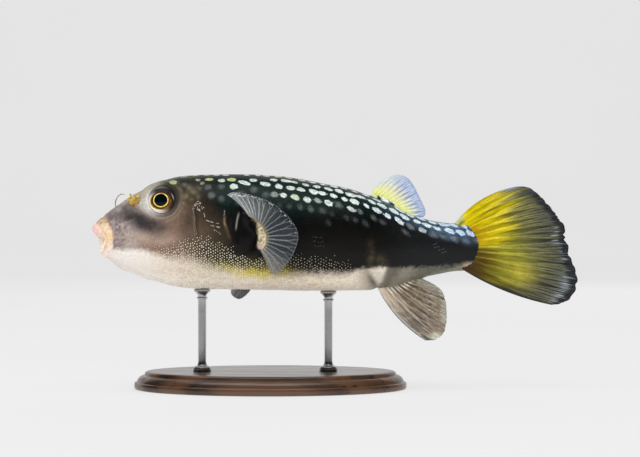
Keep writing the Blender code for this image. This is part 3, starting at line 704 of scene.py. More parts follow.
def spot_field(s, arc, chunk=6000):
    """Distance in mm from the nearest pale spot's edge (negative inside), and that spot's
    own strength and tone. The spots stand in staggered rows along the back, and the rows
    close up towards the tail; low on the flank they are small and dim, then stop."""
    rng = np.random.default_rng(17)
    spots = []
    row_gap, gap = 6.0, 5.2
    closing = [(-90, 0.98), (-40, 0.98), (0, 0.92), (25, 0.82), (45, 0.69), (70, 0.62)]
    for k in range(-7, 8):
        for n in range(-1, 33):
            x = -88.0 + (n + 0.5 * (k % 2)) * gap * (1 + 0.0012 * n)
            jx, jy = rng.normal(0, 0.36), rng.normal(0, 0.34)
            size = rng.uniform(0.80, 1.13)
            lean = rng.normal(0.06, 0.10) * (1 if k < 0 else -1)
            keep = rng.random() > 0.03
            long = 1.22 if rng.random() < 0.14 else 1.0
            strength, tone, dim_own = rng.uniform(0.86, 1.0), rng.random(), rng.uniform(0.75, 1.25)
            slant, steep = float(step(14.0, 36.0, x)), float(step(44.0, 58.0, x))
            front = 1 - 0.10 * float(step(-6.0, -36.0, x))
            lean += 0.16 * steep * (1 if k < 0 else -1) * (k != 0)
            close = float(through(closing, x))
            around = (k * row_gap + jy) * close
            over = height_at(x, around) - float(through(SPOT_LINE, x)) + 0.8 * (strength - 0.93) / 0.07 + 1.2 * slant
            limit = float(through(SPOT_DIM, x))
            faint = (0.045 + 0.16 * float(step(-8.5, -1.0, over)) ** 1.5) * dim_own
            show = max(float(step(-1.3, 0.9, over)), faint) if over > limit else 0.0
            show *= float(step(-90.0, -78.0, x)) * (1 - 0.45 * float(step(-58.0, -74.0, x)))
            if keep and show > 0.02 and not (x < -32.5 and -28 < k * row_gap < -9):
                shrink = 0.80 + 0.20 * float(step(0.25, 0.8, show))
                a = 2.00 * size * long * shrink * (1 + 0.20 * slant) * front
                b = 1.86 * size * rng.uniform(0.88, 1.10) * close * (0.92 + 0.08 * shrink) / (1 + 0.25 * (long - 1)) * (1 + 0.10 * slant) * front
                spots.append((x + jx, around, a, b, lean, strength * show, tone))
    for x, z, a, b, lean, strength, tone in NAPE:
        spots.append((x, arc_at(x, z), a, b, lean, strength, tone))
    spots = np.array(spots)
    s, arc = s.ravel(), arc.ravel()
    field, strength, tone = np.full(s.shape, 9.0), np.zeros(s.shape), np.zeros(s.shape)
    todo = np.where((s > -96) & (abs(arc) < 45))[0]
    for i in range(0, len(todo), chunk):
        k = todo[i:i + chunk]
        dx = s[k][:, None] - spots[None, :, 0]
        dy = arc[k][:, None] - spots[None, :, 1]
        dy = dy + dx * spots[None, :, 4]
        d = (np.sqrt((dx / spots[:, 2]) ** 2 + (dy / spots[:, 3]) ** 2) - 1) * np.minimum(spots[:, 2], spots[:, 3])
        best = d.argmin(1)
        field[k] = d[np.arange(len(k)), best]
        strength[k], tone[k] = spots[best, 5], spots[best, 6]
    return field, strength, tone


def blot(x, z, cx, cz, rx, rz, lean=0.0, hard=2):
    """A soft oval patch on the flank, 1 at its middle; lean in degrees, nose up positive."""
    c, s = math.cos(math.radians(lean)), math.sin(math.radians(lean))
    u, v = (x - cx) * c - (z - cz) * s, (x - cx) * s + (z - cz) * c
    return np.exp(-(np.abs(u) / rx) ** hard - (np.abs(v) / rz) ** hard)


def markings(p, s, arc, m):
    """Skin colour before its fine grain, and the spots' own colour, for points p on the
    straight fish."""
    x, y, z = p[..., 0], p[..., 1], p[..., 2]
    warp = 1.6 * rumple(p, 13.0, 31)
    fine = rumple(p, 3.4, 41)
    speck = noise(p, 1.25, 43)
    dust = noise(p, 0.75, 44)
    colour = np.ones(p.shape) * linear(12, 12, 12)

    # Trunk: near black, browner low down and forward, green-black along the back.
    fwd = x + 0.9 * np.clip(z - 80, 0, 22) + 1.5 * warp
    brown = step(-45.0, -62.0, fwd)
    colour = mix(colour, linear(54, 44, 34), brown)
    colour = mix(colour, linear(54, 50, 28), 0.75 * blot(x, z, -59.5, 76.5, 5.0, 4.5) * (0.8 + 0.3 * fine))
    colour = mix(colour, linear(6, 30, 26), step(82.0, 93.0, z + warp) * step(-66.0, -52.0, x + 0.3 * (z - 90)) * step(52, 22, x))
    colour = mix(colour, linear(25, 26, 27), step(16.0, 44.0, x))
    # painted sheen: a blue band along the upper flank towards the tail
    colour = mix(colour, linear(20, 30, 48), step(14.0, 40.0, x) * bell(z - (90.0 - 0.20 * (x - 20)), 4.6) * 0.8)
    # painted sheen: a pale blue-teal band along the back's top, from mid body to the tail
    colour = mix(colour, mix(np.ones(p.shape) * linear(54, 80, 86), linear(72, 98, 122), step(28.0, 52.0, x)),
                 (0.85 * step(2.0, 20.0, x) * step(15.5, 8.0, abs(arc) + 0.5 * warp) * (0.85 + 0.4 * fine)).clip(0, 0.92))
    colour = mix(colour, linear(84, 74, 124), 0.6 * blot(x, z, 66.0, 77.8, 1.7, 1.5, -30))
    colour = mix(colour, linear(62, 46, 42), 0.7 * blot(x, z, 68.4, 76.6, 1.3, 3.4, 12))
    colour = mix(colour, linear(22, 18, 15), 0.7 * step(82.0, 72.0, z) * step(-30.0, -10.0, x) * step(34.0, 14.0, x))
    for cx, cz, rx, rz, rgb, how in ((17.6, 72.0, 1.5, 4.2, (50, 42, 30), 0.5), (17.8, 66.0, 1.7, 5.4, (84, 78, 56), 0.55),
                                     (22.8, 63.4, 3.0, 3.4, (88, 82, 60), 0.55)):
        colour = mix(colour, linear(*rgb), (how * blot(x, z, cx, cz, rx, rz) * (0.62 + 0.5 * speck + 0.4 * fine)).clip(0, 0.8))
    # Head: olive brown above, warm brown cheek, grey-violet snout.
    head = step(-58.0, -74.0, fwd)
    colour = mix(colour, linear(98, 82, 66), head * 0.95)
    colour = mix(colour, linear(128, 103, 88), step(-68.0, -84.0, x + warp) * step(94.0, 86.0, z + 0.5 * warp) * 0.95)
    colour = mix(colour, linear(60, 53, 35), step(88.0, 97.0, z + warp) * step(-88.0, -80.0, x) * head * 0.95)
    colour = mix(colour, linear(36, 36, 22), step(97.0, 101.0, z + warp) * step(-92.0, -84.0, x) * (1 - step(-74.0, -62.0, x)))
    colour = mix(colour, linear(9, 22, 15), step(12.0, 7.0, abs(arc) + 0.6 * warp) * step(-74.0, -62.0, x) * (1 - step(2.0, 16.0, x)) * 0.9)
    colour = mix(colour, linear(96, 92, 72), step(97.0, 101.0, z + warp) * step(-86.0, -93.0, x) * 0.8)
    colour = mix(colour, linear(126, 96, 84), 0.5 * blot(x, z, -83.0, 76.0, 9.0, 4.0, -8) * (0.8 + 0.4 * fine))
    colour = mix(colour, linear(44, 40, 30), 0.7 * blot(x, z, -72.0, 99.5, 7.0, 3.5, -25))
    colour = mix(colour, linear(66, 54, 42), (0.80 * blot(x, z, -75.2, 82.5, 4.6, 7.5) * (0.85 + 0.4 * fine)).clip(0, 0.9))
    colour = mix(colour, linear(28, 25, 21), (0.75 * blot(x, z, -65.2, 96.0, 4.2, 3.4)).clip(0, 0.9))
    # pale olive mottles behind the eye and over the nape
    for cx, cz, rx, rz, how in ((-75.8, 95.8, 1.5, 1.7, 0.75), (-71.4, 98.0, 1.8, 1.4, 0.62), (-73.6, 100.2, 1.5, 1.3, 0.5),
                                (-78.2, 99.4, 1.4, 1.2, 0.45), (-69.0, 95.4, 1.3, 1.5, 0.4), (-77.0, 92.4, 2.2, 0.8, 0.5),
                                (-72.6, 94.2, 1.2, 1.0, 0.45), (-79.6, 91.0, 1.8, 0.7, 0.45), (-68.4, 99.8, 1.3, 1.0, 0.35)):
        colour = mix(colour, linear(134, 122, 90), (how * blot(x, z, cx, cz, rx, rz, 25) * (0.85 + 0.35 * speck)).clip(0, 0.9))
    upper = step(96.0, 100.0, z) * head
    colour = mix(colour, linear(132, 136, 84), upper * step(0.30, 0.60, noise(p, 2.6, 46)) * 0.55)
    # snout
    snout = step(-95.0, -102.0, x + 0.5 * warp)
    colour = mix(colour, linear(160, 146, 142), snout * step(64.0, 70.0, z))
    colour = mix(colour, linear(114, 102, 103), 0.85 * blot(x, z, -111.5, 85.6, 3.0, 4.2, -35))
    colour = mix(colour, linear(108, 98, 100), 0.8 * blot(x, z, -106.0, 88.6, 5.5, 2.6, -35))
    colour = mix(colour, linear(122, 107, 110), 0.75 * blot(x, z, -109.2, 72.2, 3.2, 2.8))
    colour = mix(colour, linear(176, 156, 142), 0.85 * blot(x, z, -97.5, 76.0, 9.5, 3.2, -8))
    colour = mix(colour, linear(168, 146, 132), 0.8 * blot(x, z, -88.0, 74.0, 8.0, 2.4, -8))
    pale = step(0.18, 0.62, speck + 0.35 * fine) * step(66.0, 70.0, z)
    colour = mix(colour, linear(206, 198, 190), pale * blot(x, z, -106.5, 79.5, 5.0, 7.5, -12) * 0.62)
    pit = step(-0.10, -0.55, speck + 0.4 * dust) * step(66.0, 70.0, z)
    colour = mix(colour, linear(84, 72, 78), pit * blot(x, z, -107.5, 78.5, 5.6, 9.5, -12) * 0.55)
    colour = mix(colour, linear(168, 170, 146), blot(x, z, -104.6, 91.0, 3.6, 2.0, 35) * step(-0.15, 0.35, speck) * 0.75)
    colour = mix(colour, linear(206, 204, 190), blot(x, z, -107.6, 89.2, 1.3, 1.0) * 0.5)
    # Pale skin about the eye, brightest in front of it and below.
    er, ea = m["eye_r"], m["eye_a"]
    ring = 1 - step(9.0, 13.0, er)
    colour = mix(colour, linear(110, 98, 86), ring * 0.45)
    front = (0.5 + 0.5 * np.cos(ea + 0.06)) ** 2.6
    under_eye = (0.5 + 0.5 * np.cos(ea + 1.35)) ** 2.0
    colour = mix(colour, linear(126, 106, 94), (1 - step(9.0, 12.5, er)) * (0.5 + 0.5 * np.cos(ea + 1.3)) ** 1.5 * 0.7)
    colour = mix(colour, linear(206, 202, 188), (1 - step(9.0, 15.0, er + 0.8 * fine)) * front ** 1.6 * 0.95)
    crest = bell(y, 4.6) * (z > 80) * step(-107.0, -101.0, x) * (1 - step(-84.0, -76.0, x))
    colour = mix(colour, linear(168, 158, 100), (0.55 * crest * (0.75 + 0.6 * speck)).clip(0, 0.8))
    # The dark smear that runs back and down under the eye.
    c, si = math.cos(math.radians(-23)), math.sin(math.radians(-23))
    u = (x + 96.6) * c + (z - 84.6) * si
    v = -(x + 96.6) * si + (z - 84.6) * c + 0.5 * fine + 1.0
    smear = np.exp(-(u / 11.0) ** 4 - (np.abs(v) / 4.6) ** 2.8) * (0.95 + 0.16 * fine)
    smear = np.maximum(smear, 0.8 * blot(x, z, -88.8, 80.0, 4.8, 2.4, -14)) * step(8.2, 9.8, er)
    colour = mix(colour, linear(56, 51, 52), smear.clip(0, 1))
    colour = mix(colour, linear(84, 74, 72), (0.55 * blot(x, z, -103.4, 88.6, 2.8, 2.2)).clip(0, 1))
    colour = mix(colour, linear(178, 162, 150), 0.55 * blot(x, z, -104.6, 83.0, 3.0, 0.5, -24) * (0.6 + 0.6 * speck).clip(0, 1))
    colour = mix(colour, linear(216, 213, 207), (1 - step(8.4, 11.2, er)) * front ** 1.5)
    colour = mix(colour, linear(250, 250, 250), (1 - step(7.8, 9.0, er)) * front ** 1.1 * 0.8)
    colour = mix(colour, linear(62, 53, 48), (1 - step(6.7, 7.1, er)) * under_eye * 0.85)
    colour = mix(colour, linear(150, 134, 122), bell(er - 7.5, 0.34) * under_eye * 0.75)
    colour = mix(colour, linear(92, 78, 70), bell(er - 8.3, 0.40) * under_eye * 0.6)
    colour = mix(colour, linear(156, 138, 124), bell(er - 9.2, 0.30) * under_eye * 0.6)
    colour = mix(colour, linear(100, 85, 76), bell(er - 10.2, 0.36) * under_eye * 0.45)
    colour = mix(colour, linear(150, 132, 118), bell(er - 11.2, 0.28) * under_eye * 0.5 * step(-88.0, -84.0, x))
    back = (0.5 - 0.5 * np.cos(ea + 0.45)) ** 0.8
    colour = mix(colour, linear(42, 39, 37), (1 - step(7.8, 9.8, er)) * back * 0.95)
    colour = mix(colour, linear(112, 102, 90), bell(er - 9.9, 0.40) * back * 0.6)
    over_eye = (0.5 + 0.5 * np.sin(ea + 0.2)) ** 2
    fore_lid = step(-0.35, 0.35, np.cos(ea))
    lid = mix(np.ones(p.shape) * linear(58, 54, 44), linear(150, 148, 130), fore_lid)
    colour = mix(colour, lid, bell(er - 8.4, 1.3) * over_eye * 0.9)
    colour = mix(colour, linear(48, 45, 32), bell(er - 11.4, 1.6) * over_eye * (0.6 - 0.5 * fore_lid))
    colour = mix(colour, linear(192, 174, 132), (0.75 * blot(x, z, -95.4, 98.4, 4.2, 2.4, 35) * (0.85 + 0.3 * fine)).clip(0, 0.9))
    # The crease behind the cheek, with painted shade along it, and the paler edge of skin before it.
    crease = x + 70.9 + 0.075 * (z - 82) - 0.004 * (z - 82) ** 2
    tall = step(74.0, 76.5, z) * (1 - step(89.5, 92.0, z))
    colour = mix(colour, linear(150, 136, 118), bell(crease + 0.5, 0.30) * tall * 0.42 * (0.8 + 0.5 * dust))
    colour = mix(colour, linear(40, 33, 27), bell(crease - 0.9, 0.9) * tall * 0.6)
    # Gill opening and the pit behind it, painted near black as their shade.
    low_end = step(66.0, 71.0, z) * (1 - step(88.5, 93.0, z))
    gill_painted_shade = step(-53.2, -49.0, x - 0.10 * (z - 80)) * step(-31.0, -36.0, x) * low_end
    colour = mix(colour, linear(14, 12, 12), gill_painted_shade * 0.97)
    strap = x + 55.2 - 0.36 * np.clip(83 - z, 0, 14) - 0.05 * np.clip(z - 84, 0, 8)
    colour = mix(colour, linear(104, 82, 54), 0.42 * bell(strap, 0.85) * step(72.5, 77.5, z) * (1 - step(84.5, 89.0, z))
                 * (0.8 + 0.5 * noise(p, 2.2, 4)))
    # painted highlight near the strap's top
    colour = mix(colour, linear(180, 156, 128), 0.55 * bell(strap + 0.2, 0.40) * bell(z - 83.0, 2.2))
    colour = mix(colour, linear(120, 96, 74), 0.4 * bell(strap + 0.5, 0.6) * bell(z - 88.5, 2.4) * step(-0.2, 0.3, speck))
    # painted shade under the gill cover's edge, behind the strap
    colour = mix(colour, linear(20, 18, 18), 0.90 * bell(strap - 1.9, 1.1) * low_end)
    # pale line before the slit: the inner membrane's edge, with a painted highlight on it
    colour = mix(colour, linear(172, 172, 162), 0.80 * bell(m["across"] + 1.0, 0.34) * step(78.6, 81.0, z)
                 * (1 - step(86.0, 88.5, z)))
    # Belly, with a yellow flush at its edge behind the cheek.
    line, soft = through(BELLY_LINE, x), through(BELLY_SOFT, x)
    under = step(1.0, -1.0, (z - line + 0.6 * warp + 0.9 * speck + 0.6 * dust) / soft)
    pale = mix(np.ones(p.shape) * linear(235, 227, 219), linear(226, 214, 198), step(-106.0, -76.0, x))
    # painted light: the belly is painted paler low down, for the light from below
    low = step(61.5, 54.0, z)
    pale = mix(pale, mix(np.ones(p.shape) * linear(247, 239, 233), linear(250, 240, 226), step(-100.0, -70.0, x)), low)
    pale = mix(pale, mix(np.ones(p.shape) * linear(226, 214, 198), linear(244, 232, 213), low), step(-60.0, -20.0, x))
    pale = mix(pale, linear(224, 215, 196), step(4.0, 18.0, x) * 0.9)
    pale = mix(pale, linear(132, 128, 113), step(24.0, 32.0, x) * 0.95)
    pale = mix(pale, linear(108, 106, 94), step(34.0, 44.0, x))
    pale = mix(pale, linear(120, 117, 102), step(48.0, 60.0, x))
    pale = mix(pale, linear(202, 191, 170), (0.55 * blot(x, z, -62.0, 58.0, 17.0, 4.5) * (0.8 + 0.5 * fine)).clip(0, 0.9))
    stain = noise(p, 2.4, 55) * step(26.0, 34.0, x)
    pale = mix(pale, pale * 0.62, (0.7 * stain).clip(0, 0.7))
    fore = x - (20.9 - 0.50 * (z - 51.9))
    aft = x - (25.6 + 0.42 * (z - 51.9))
    deep = step(60.5, 54.0, z)
    pale = mix(pale, linear(150, 142, 126), 0.55 * bell(fore + 4.0, 3.0))
    # painted shade in the crease before the vent's cone and along its rear side, and a painted highlight down the cone
    pale = mix(pale, linear(74, 65, 54), (0.40 + 0.48 * deep) * bell(fore + 1.1, 2.0))
    pale = mix(pale, linear(84, 77, 69), 0.85 * step(-5.2, -2.2, aft) * (1 - step(0.4, 6.4, aft)))
    pale = mix(pale, linear(208, 202, 186), 0.80 * bell(fore - 2.7 - 0.10 * (z - 54.0), 1.9) * step(52.6, 55.4, z))
    pale = mix(pale, linear(204, 166, 132), (0.36 * step(0.15, 0.5, noise(p, 1.15, 52))) * step(-98, -76, x) * step(24, 10, x))
    pale = mix(pale, linear(214, 206, 214), 0.35 * step(-100.0, -108.0, x) * step(68.0, 64.0, z) * step(-0.3, 0.3, fine))
    colour = mix(colour, pale, under)
    flush = bell(x + 40.0 - 0.6 * warp, 15.0 + 1.5 * (x < -40.0)) * bell(z - line - 0.7 - 0.7 * step(-54.0, -42.0, x) - 0.5 * warp, 3.0)
    flush = flush * (0.8 + 0.5 * noise(p, 4.0, 61))
    colour = mix(colour, mix(np.ones(p.shape) * linear(192, 179, 72), linear(214, 194, 62), step(-56.0, -42.0, x)), flush.clip(0, 0.88))
    colour = mix(colour, linear(60, 54, 24), (0.75 * bell(x + 54.0, 12.0) * bell(z - line - 3.4, 2.0) * step(0.0, 0.5, speck)).clip(0, 1))
    colour = mix(colour, linear(44, 39, 22), (0.85 * bell(x + 56.0, 10.0) * bell(z - line - 5.6, 3.2)).clip(0, 1))
    colour = mix(colour, linear(66, 58, 20), (0.75 * bell(x + 38.0, 9.0) * bell(z - line - 4.8, 3.0)).clip(0, 1))
    colour = mix(colour, linear(62, 51, 40), (0.60 * bell(x + 68.0, 8.0) * bell(z - line - 8.6, 3.4)).clip(0, 1))
    # Lips: an orange outer fold, a pale band by the groove that is a painted highlight, a pink inner lip.
    lips = step(-113.2, -115.0, s + 0.75 * fine + 0.45 * speck)
    lip = np.ones(p.shape) * linear(236, 208, 184)
    rust = noise(p, 1.7, 71)
    lip = mix(lip, linear(238, 186, 138), (0.70 * bell(s + 115.8, 0.75) * (0.75 + 0.5 * rust)).clip(0, 1))
    # painted highlight: the pale band on the fold's front by the groove
    lip = mix(lip, linear(250, 230, 214), (bell(s + 118.0, 0.9) * (0.75 + 0.4 * noise(p, 2.2, 72))).clip(0, 1))
    lip = mix(lip, linear(226, 200, 130), (bell(s + 117.6, 1.8) * step(0.10, 0.50, noise(p, 1.9, 74)) * step(70.5, 73.5, z) * 0.6).clip(0, 1))
    lip = mix(lip, linear(255, 238, 222), 0.75 * step(73.0, 69.5, z))
    lip = mix(lip, linear(232, 194, 180), bell(s + 120.4, 0.7) * 0.6)
    inner = step(-120.4, -121.8, s)
    lip = mix(lip, linear(238, 214, 201), inner * 0.97)
    lip = mix(lip, linear(240, 190, 184), inner * (0.15 + 0.6 * noise(p, 2.4, 73)).clip(0, 1) * step(76.0, 80.0, z) * 0.7)
    lip = mix(lip, linear(255, 244, 230), inner * step(74.5, 71.5, z) * 0.9)
    # blots of the lips' colour; the low brown one at -114.4, 70.6 is painted shade inside the lower lip
    for cx, cz, rx, rz, rgb, how in ((-119.6, 80.4, 1.4, 2.6, (240, 178, 180), 0.6), (-115.2, 81.6, 1.5, 1.7, (196, 184, 112), 0.7),
                                     (-115.8, 77.6, 2.2, 0.9, (236, 168, 148), 0.6), (-115.6, 75.9, 1.6, 0.7, (216, 200, 136), 0.6),
                                     (-112.8, 75.8, 1.3, 1.7, (224, 200, 124), 0.6), (-114.4, 70.6, 0.9, 1.9, (202, 146, 122), 0.6)):
        lip = mix(lip, linear(*rgb), (how * blot(x, z, cx, cz, rx, rz) * (0.85 + 0.4 * rust)).clip(0, 0.9))
    high = step(81.2, 84.0, z + 0.5 * rust) * step(-121.0, -119.4, s)
    lip = mix(lip, linear(192, 166, 128), high * 0.8)
    lip = mix(lip, linear(134, 106, 84), high * step(0.10, 0.45, noise(p, 1.2, 75)) * 0.7)
    # the fold's rear edge: rusty at mid height, pale below
    edge = bell(s + 114.5, 0.55)
    lip = mix(lip, linear(190, 122, 82), 0.6 * edge * step(73.0, 77.0, z) * step(-0.3, 0.3, rust))
    lip = mix(lip, linear(228, 214, 210), step(-116.6, -115.2, s) * step(71.5, 68.0, z) * 0.85)
    # painted highlight along the lower lip's edge
    lip = mix(lip, linear(250, 222, 222), 0.7 * blot(x, z, -112.3, 71.4, 0.5, 2.6, 14))
    colour = mix(colour, lip, lips)
    colour = mix(colour, linear(128, 100, 112), 0.5 * bell(s + 113.4 + 0.4 * fine, 0.55) * step(71.0, 74.0, z) * step(-0.4, 0.3, speck))
    colour = mix(colour, linear(120, 60, 50), step(-131.4, -134.0, s))
    # Fin roots: tan, thickly dotted with cream and brown.
    tan = mix(np.ones(p.shape) * linear(188, 172, 134), linear(244, 236, 208), (0.9 * step(0.05, 0.55, dust)))
    tan = mix(tan, linear(98, 84, 54), 0.75 * step(-0.15, -0.60, dust + 0.3 * speck))
    tan = mix(tan, linear(232, 208, 204), step(73.5, 70.0, z) * 0.7)
    tan = mix(tan, linear(128, 112, 74), bell(z - 84.9, 2.4) * 0.7)
    tan = mix(tan, linear(150, 128, 104), step(70.6, 68.6, z) * 0.7)
    colour = mix(colour, tan, m["strip"] * 0.95)
    colour = mix(colour, linear(96, 74, 60), m["vent"])
    sheath = step(0.04, 0.22, m["ridge"])
    colour = mix(colour, linear(8, 10, 10), sheath)
    patch = sum(bell(x - at, wide) for at, wide in ((19.6, 1.7), (25.4, 2.0), (31.6, 1.5)))
    colour = mix(colour, mix(np.ones(p.shape) * linear(214, 226, 190), linear(232, 240, 244), step(21.0, 27.0, x)),
                 sheath * (1 - step(0.62, 0.9, m["ridge"])) * step(0.32, 0.60, patch + 0.15 * speck))
    # painted highlight: a pale band along the back's top midline over the tail stem
    painted_ridge_highlight = bell(y + 0.6, 2.4) * (z > 77.0) * step(26.0, 36.0, x) * (1 - step(62.0, 66.0, x)) * (1 - sheath)
    colour = mix(colour, linear(204, 222, 216), (painted_ridge_highlight * (0.62 + 0.5 * fine)).clip(0, 0.85))
    # The tail stem's end, where it meets the fin.
    tip = step(70.0, 73.2, s)
    colour = mix(colour, linear(52, 38, 12), tip * 0.7)
    colour = mix(colour, linear(196, 172, 148), step(62.0, 67.0, s) * step(64.6, 61.6, z) * 0.75)

    spot = np.ones(p.shape) * linear(222, 236, 226)
    spot = mix(spot, linear(204, 214, 172), step(-44.0, -74.0, x))
    spot = mix(spot, linear(242, 252, 248), step(-34.0, 0.0, x))
    spot = mix(spot, linear(236, 250, 255), step(8.0, 30.0, x))
    spot = mix(spot, linear(206, 226, 255), step(46.0, 62.0, x))
    calm = step(-74.0, -92.0, x) * step(72.0, 66.0, z) * (1 - step(-113.0, -115.0, s))
    return colour, spot, calm


def skin_material():
    n = Nodes("fish_skin", roughness=0.36, Coat_Weight=0.03, Coat_Roughness=0.18)
    n.p.inputs["Specular IOR Level"].default_value = 0.14
    base, show = n.attribute("paint"), n.attribute("spot_show", True)
    grain = n.noise(900, 4, 0.6)
    speck = n.noise(2600, 2, 0.5)
    tone = n.math("ADD", n.span(grain, 0.3, 0.7, 0.80, 1.18, False), n.span(speck, 0.35, 0.65, -0.05, 0.05, False))
    shade = n.add("ShaderNodeCombineColor")
    for k in range(3):
        n.link(tone, shade.inputs[k])
    lively = n.span(n.attribute("calm", True), 0.0, 1.0, 1.0, 0.42)
    skin = n.mix(lively, base, n.mix(1.0, base, shade.outputs[0], "MULTIPLY"))
    # spots: a crisp but uneven edge, a darker net between them, mottling inside
    edge = n.math("ADD", n.attribute("spot", True), n.span(n.noise(560, 4, 0.62), 0.3, 0.7, -0.36, 0.36, False))
    edge = n.math("ADD", edge, n.span(show, 0.15, 0.85, 0.10, -0.02))
    blur = n.span(show, 0.1, 0.6, 0.95, 0.18)
    inside = n.span(edge, blur, n.math("MULTIPLY", blur, -1.2), 0.0, 1.0)
    inside = n.math("MULTIPLY", inside, n.math("MULTIPLY", show, n.span(n.noise(780, 4, 0.7), 0.38, 0.60, 0.66, 1.22), clamp=True))
    mottled = n.mix(n.span(n.noise(1500, 3, 0.65), 0.42, 0.62, 0.0, 0.38), n.attribute("spot_colour"),
                    tuple(linear(92, 112, 96)))
    skin = n.mix(inside, skin, mottled)
    # relief too fine for the mesh: pores, creases and the pits round the prickles
    pores = n.voronoi(1500, "F1", "Distance", 1.0)
    creases = n.voronoi(520, "DISTANCE_TO_EDGE", "Distance", 1.0)
    height = n.math("ADD", n.math("MULTIPLY", pores, 0.45), n.span(creases, 0.0, 0.14, 0.0, 0.5))
    height = n.math("ADD", height, n.math("MULTIPLY", n.noise(420, 4, 0.6), 0.9))
    height = n.math("MULTIPLY", height, lively)
    n.to(Base_Color=skin, Normal=n.bump(height, 0.00016, 0.55),
         Roughness=n.span(n.noise(260, 3, 0.5), 0.3, 0.7, 0.27, 0.46, False))
    return n.m


SKIN_MAT = skin_material()
FIELD, SHOW, TONE = spot_field(S, ARC)
COLOUR, SPOT_COLOUR, CALM = markings(BASE, S, ARC, MEASURE)
FAINT = step(0.5, 0.2, SHOW)
SPOT_COLOUR = mix(SPOT_COLOUR.reshape(-1, 3), linear(190, 210, 118), (TONE > 0.86) * step(4, -40, S.ravel()) * 0.80)
SPOT_COLOUR = mix(SPOT_COLOUR, linear(196, 206, 204), FAINT * 0.8)

# The skin's own unwrap: along the body, and round it from the belly's middle line.
UU = (PLACES - PLACES[0]) / (PLACES[-1] - PLACES[0])
GIRTH = np.concatenate([ARC - ARC[:, :1], -ARC[:, :1] * 2], 1)
GIRTH[:, HALF + 1:NV] = -ARC[:, :1] + ARC[:, HALF + 1:]
VV = 0.5 + (GIRTH / GIRTH[:, -1:] - 0.5) * 0.98
UV_U = np.repeat((0.01 + 0.98 * UU)[:, None], NV + 1, 1)


def build_skin():
    obj = tube("fish_skin", posed(SKIN), SKIN_MAT, UV_U, VV, attrs={
        "paint": COLOUR, "spot": FIELD.reshape(NR, NV), "spot_show": SHOW.reshape(NR, NV),
        "spot_colour": SPOT_COLOUR.reshape(NR, NV, 3), "calm": CALM.reshape(NR, NV)})
    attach(obj, "root")
    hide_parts("head", "trunk", "tail_stem", "lip_upper", "lip_lower",
                "pectoral_base_left", "pectoral_base_right")
    print("skin", NR, "rings of", NV)


build_skin()

# ============================================================================ EYES
def eye_material():
    n = Nodes("fish_eye", roughness=0.16, Coat_Weight=0.07, Coat_Roughness=0.05)
    n.p.inputs["Specular IOR Level"].default_value = 0.10
    r, a = n.attribute("eye_r", True), n.attribute("eye_turn", True)
    glow = n.attribute("eye_glow", True)
    v = n.add("ShaderNodeCombineXYZ")
    n.link(n.math("MULTIPLY", a, 15.0), v.inputs[0])
    n.link(n.math("MULTIPLY", r, 1.9), v.inputs[1])

    def grain(scale, detail, shift):
        t = n.add("ShaderNodeTexNoise", noise_dimensions="3D")
        t.inputs["Scale"].default_value = scale
        t.inputs["Detail"].default_value = detail
        m = n.add("ShaderNodeMapping")
        m.inputs["Location"].default_value = (shift, shift, shift)
        n.link(v.outputs[0], m.inputs["Vector"])
        n.link(m.outputs[0], t.inputs["Vector"])
        return t.outputs["Fac"]

    streak, blot = grain(1.0, 4, 0.0), grain(0.62, 3, 9.0)
    wob = n.math("ADD", r, n.span(streak, 0.25, 0.75, -0.10, 0.10, False))
    # dark mottled iris, more orange behind and below, with a gold arc at its lower front
    arc, rim, lit = n.attribute("eye_arc", True), n.attribute("eye_rim", True), n.attribute("eye_lit", True)
    iris = n.mix(n.span(blot, 0.40, 0.62), tuple(linear(36, 24, 4)), tuple(linear(98, 68, 8)))
    iris = n.mix(n.math("MULTIPLY", glow, n.span(streak, 0.36, 0.64, 0.0, 0.85)), iris, tuple(linear(184, 112, 18)))
    gold = n.mix(n.span(streak, 0.3, 0.7), tuple(linear(226, 178, 44)), tuple(linear(255, 242, 150)))
    shell = n.attribute("paint")
    out = n.math("ADD", rim, n.span(streak, 0.25, 0.75, -0.16, 0.16, False))
    c = n.mix(n.span(out, 5.00, 5.45), iris, shell)
    outer_gold = n.math("MULTIPLY", n.span(out, 4.72, 4.98), n.span(out, 5.50, 5.16))
    c = n.mix(n.math("MULTIPLY", outer_gold, arc), c, gold)
    dark = n.math("MULTIPLY", n.span(wob, 3.72, 3.92), n.span(wob, 4.50, 4.10))
    c = n.mix(n.math("MULTIPLY", dark, 0.80), c, tuple(linear(48, 30, 4)))
    line = n.math("MULTIPLY", n.span(wob, 3.16, 3.30), n.span(wob, 3.84, 3.62))
    c = n.mix(line, c, n.mix(lit, tuple(linear(176, 104, 40)), gold))
    c = n.mix(n.span(r, 3.32, 3.16), c, tuple(linear(2, 12, 16)))
    n.to(Base_Color=c, Roughness=n.span(r, 3.1, 3.4, 0.05, 0.32))
    return n.m


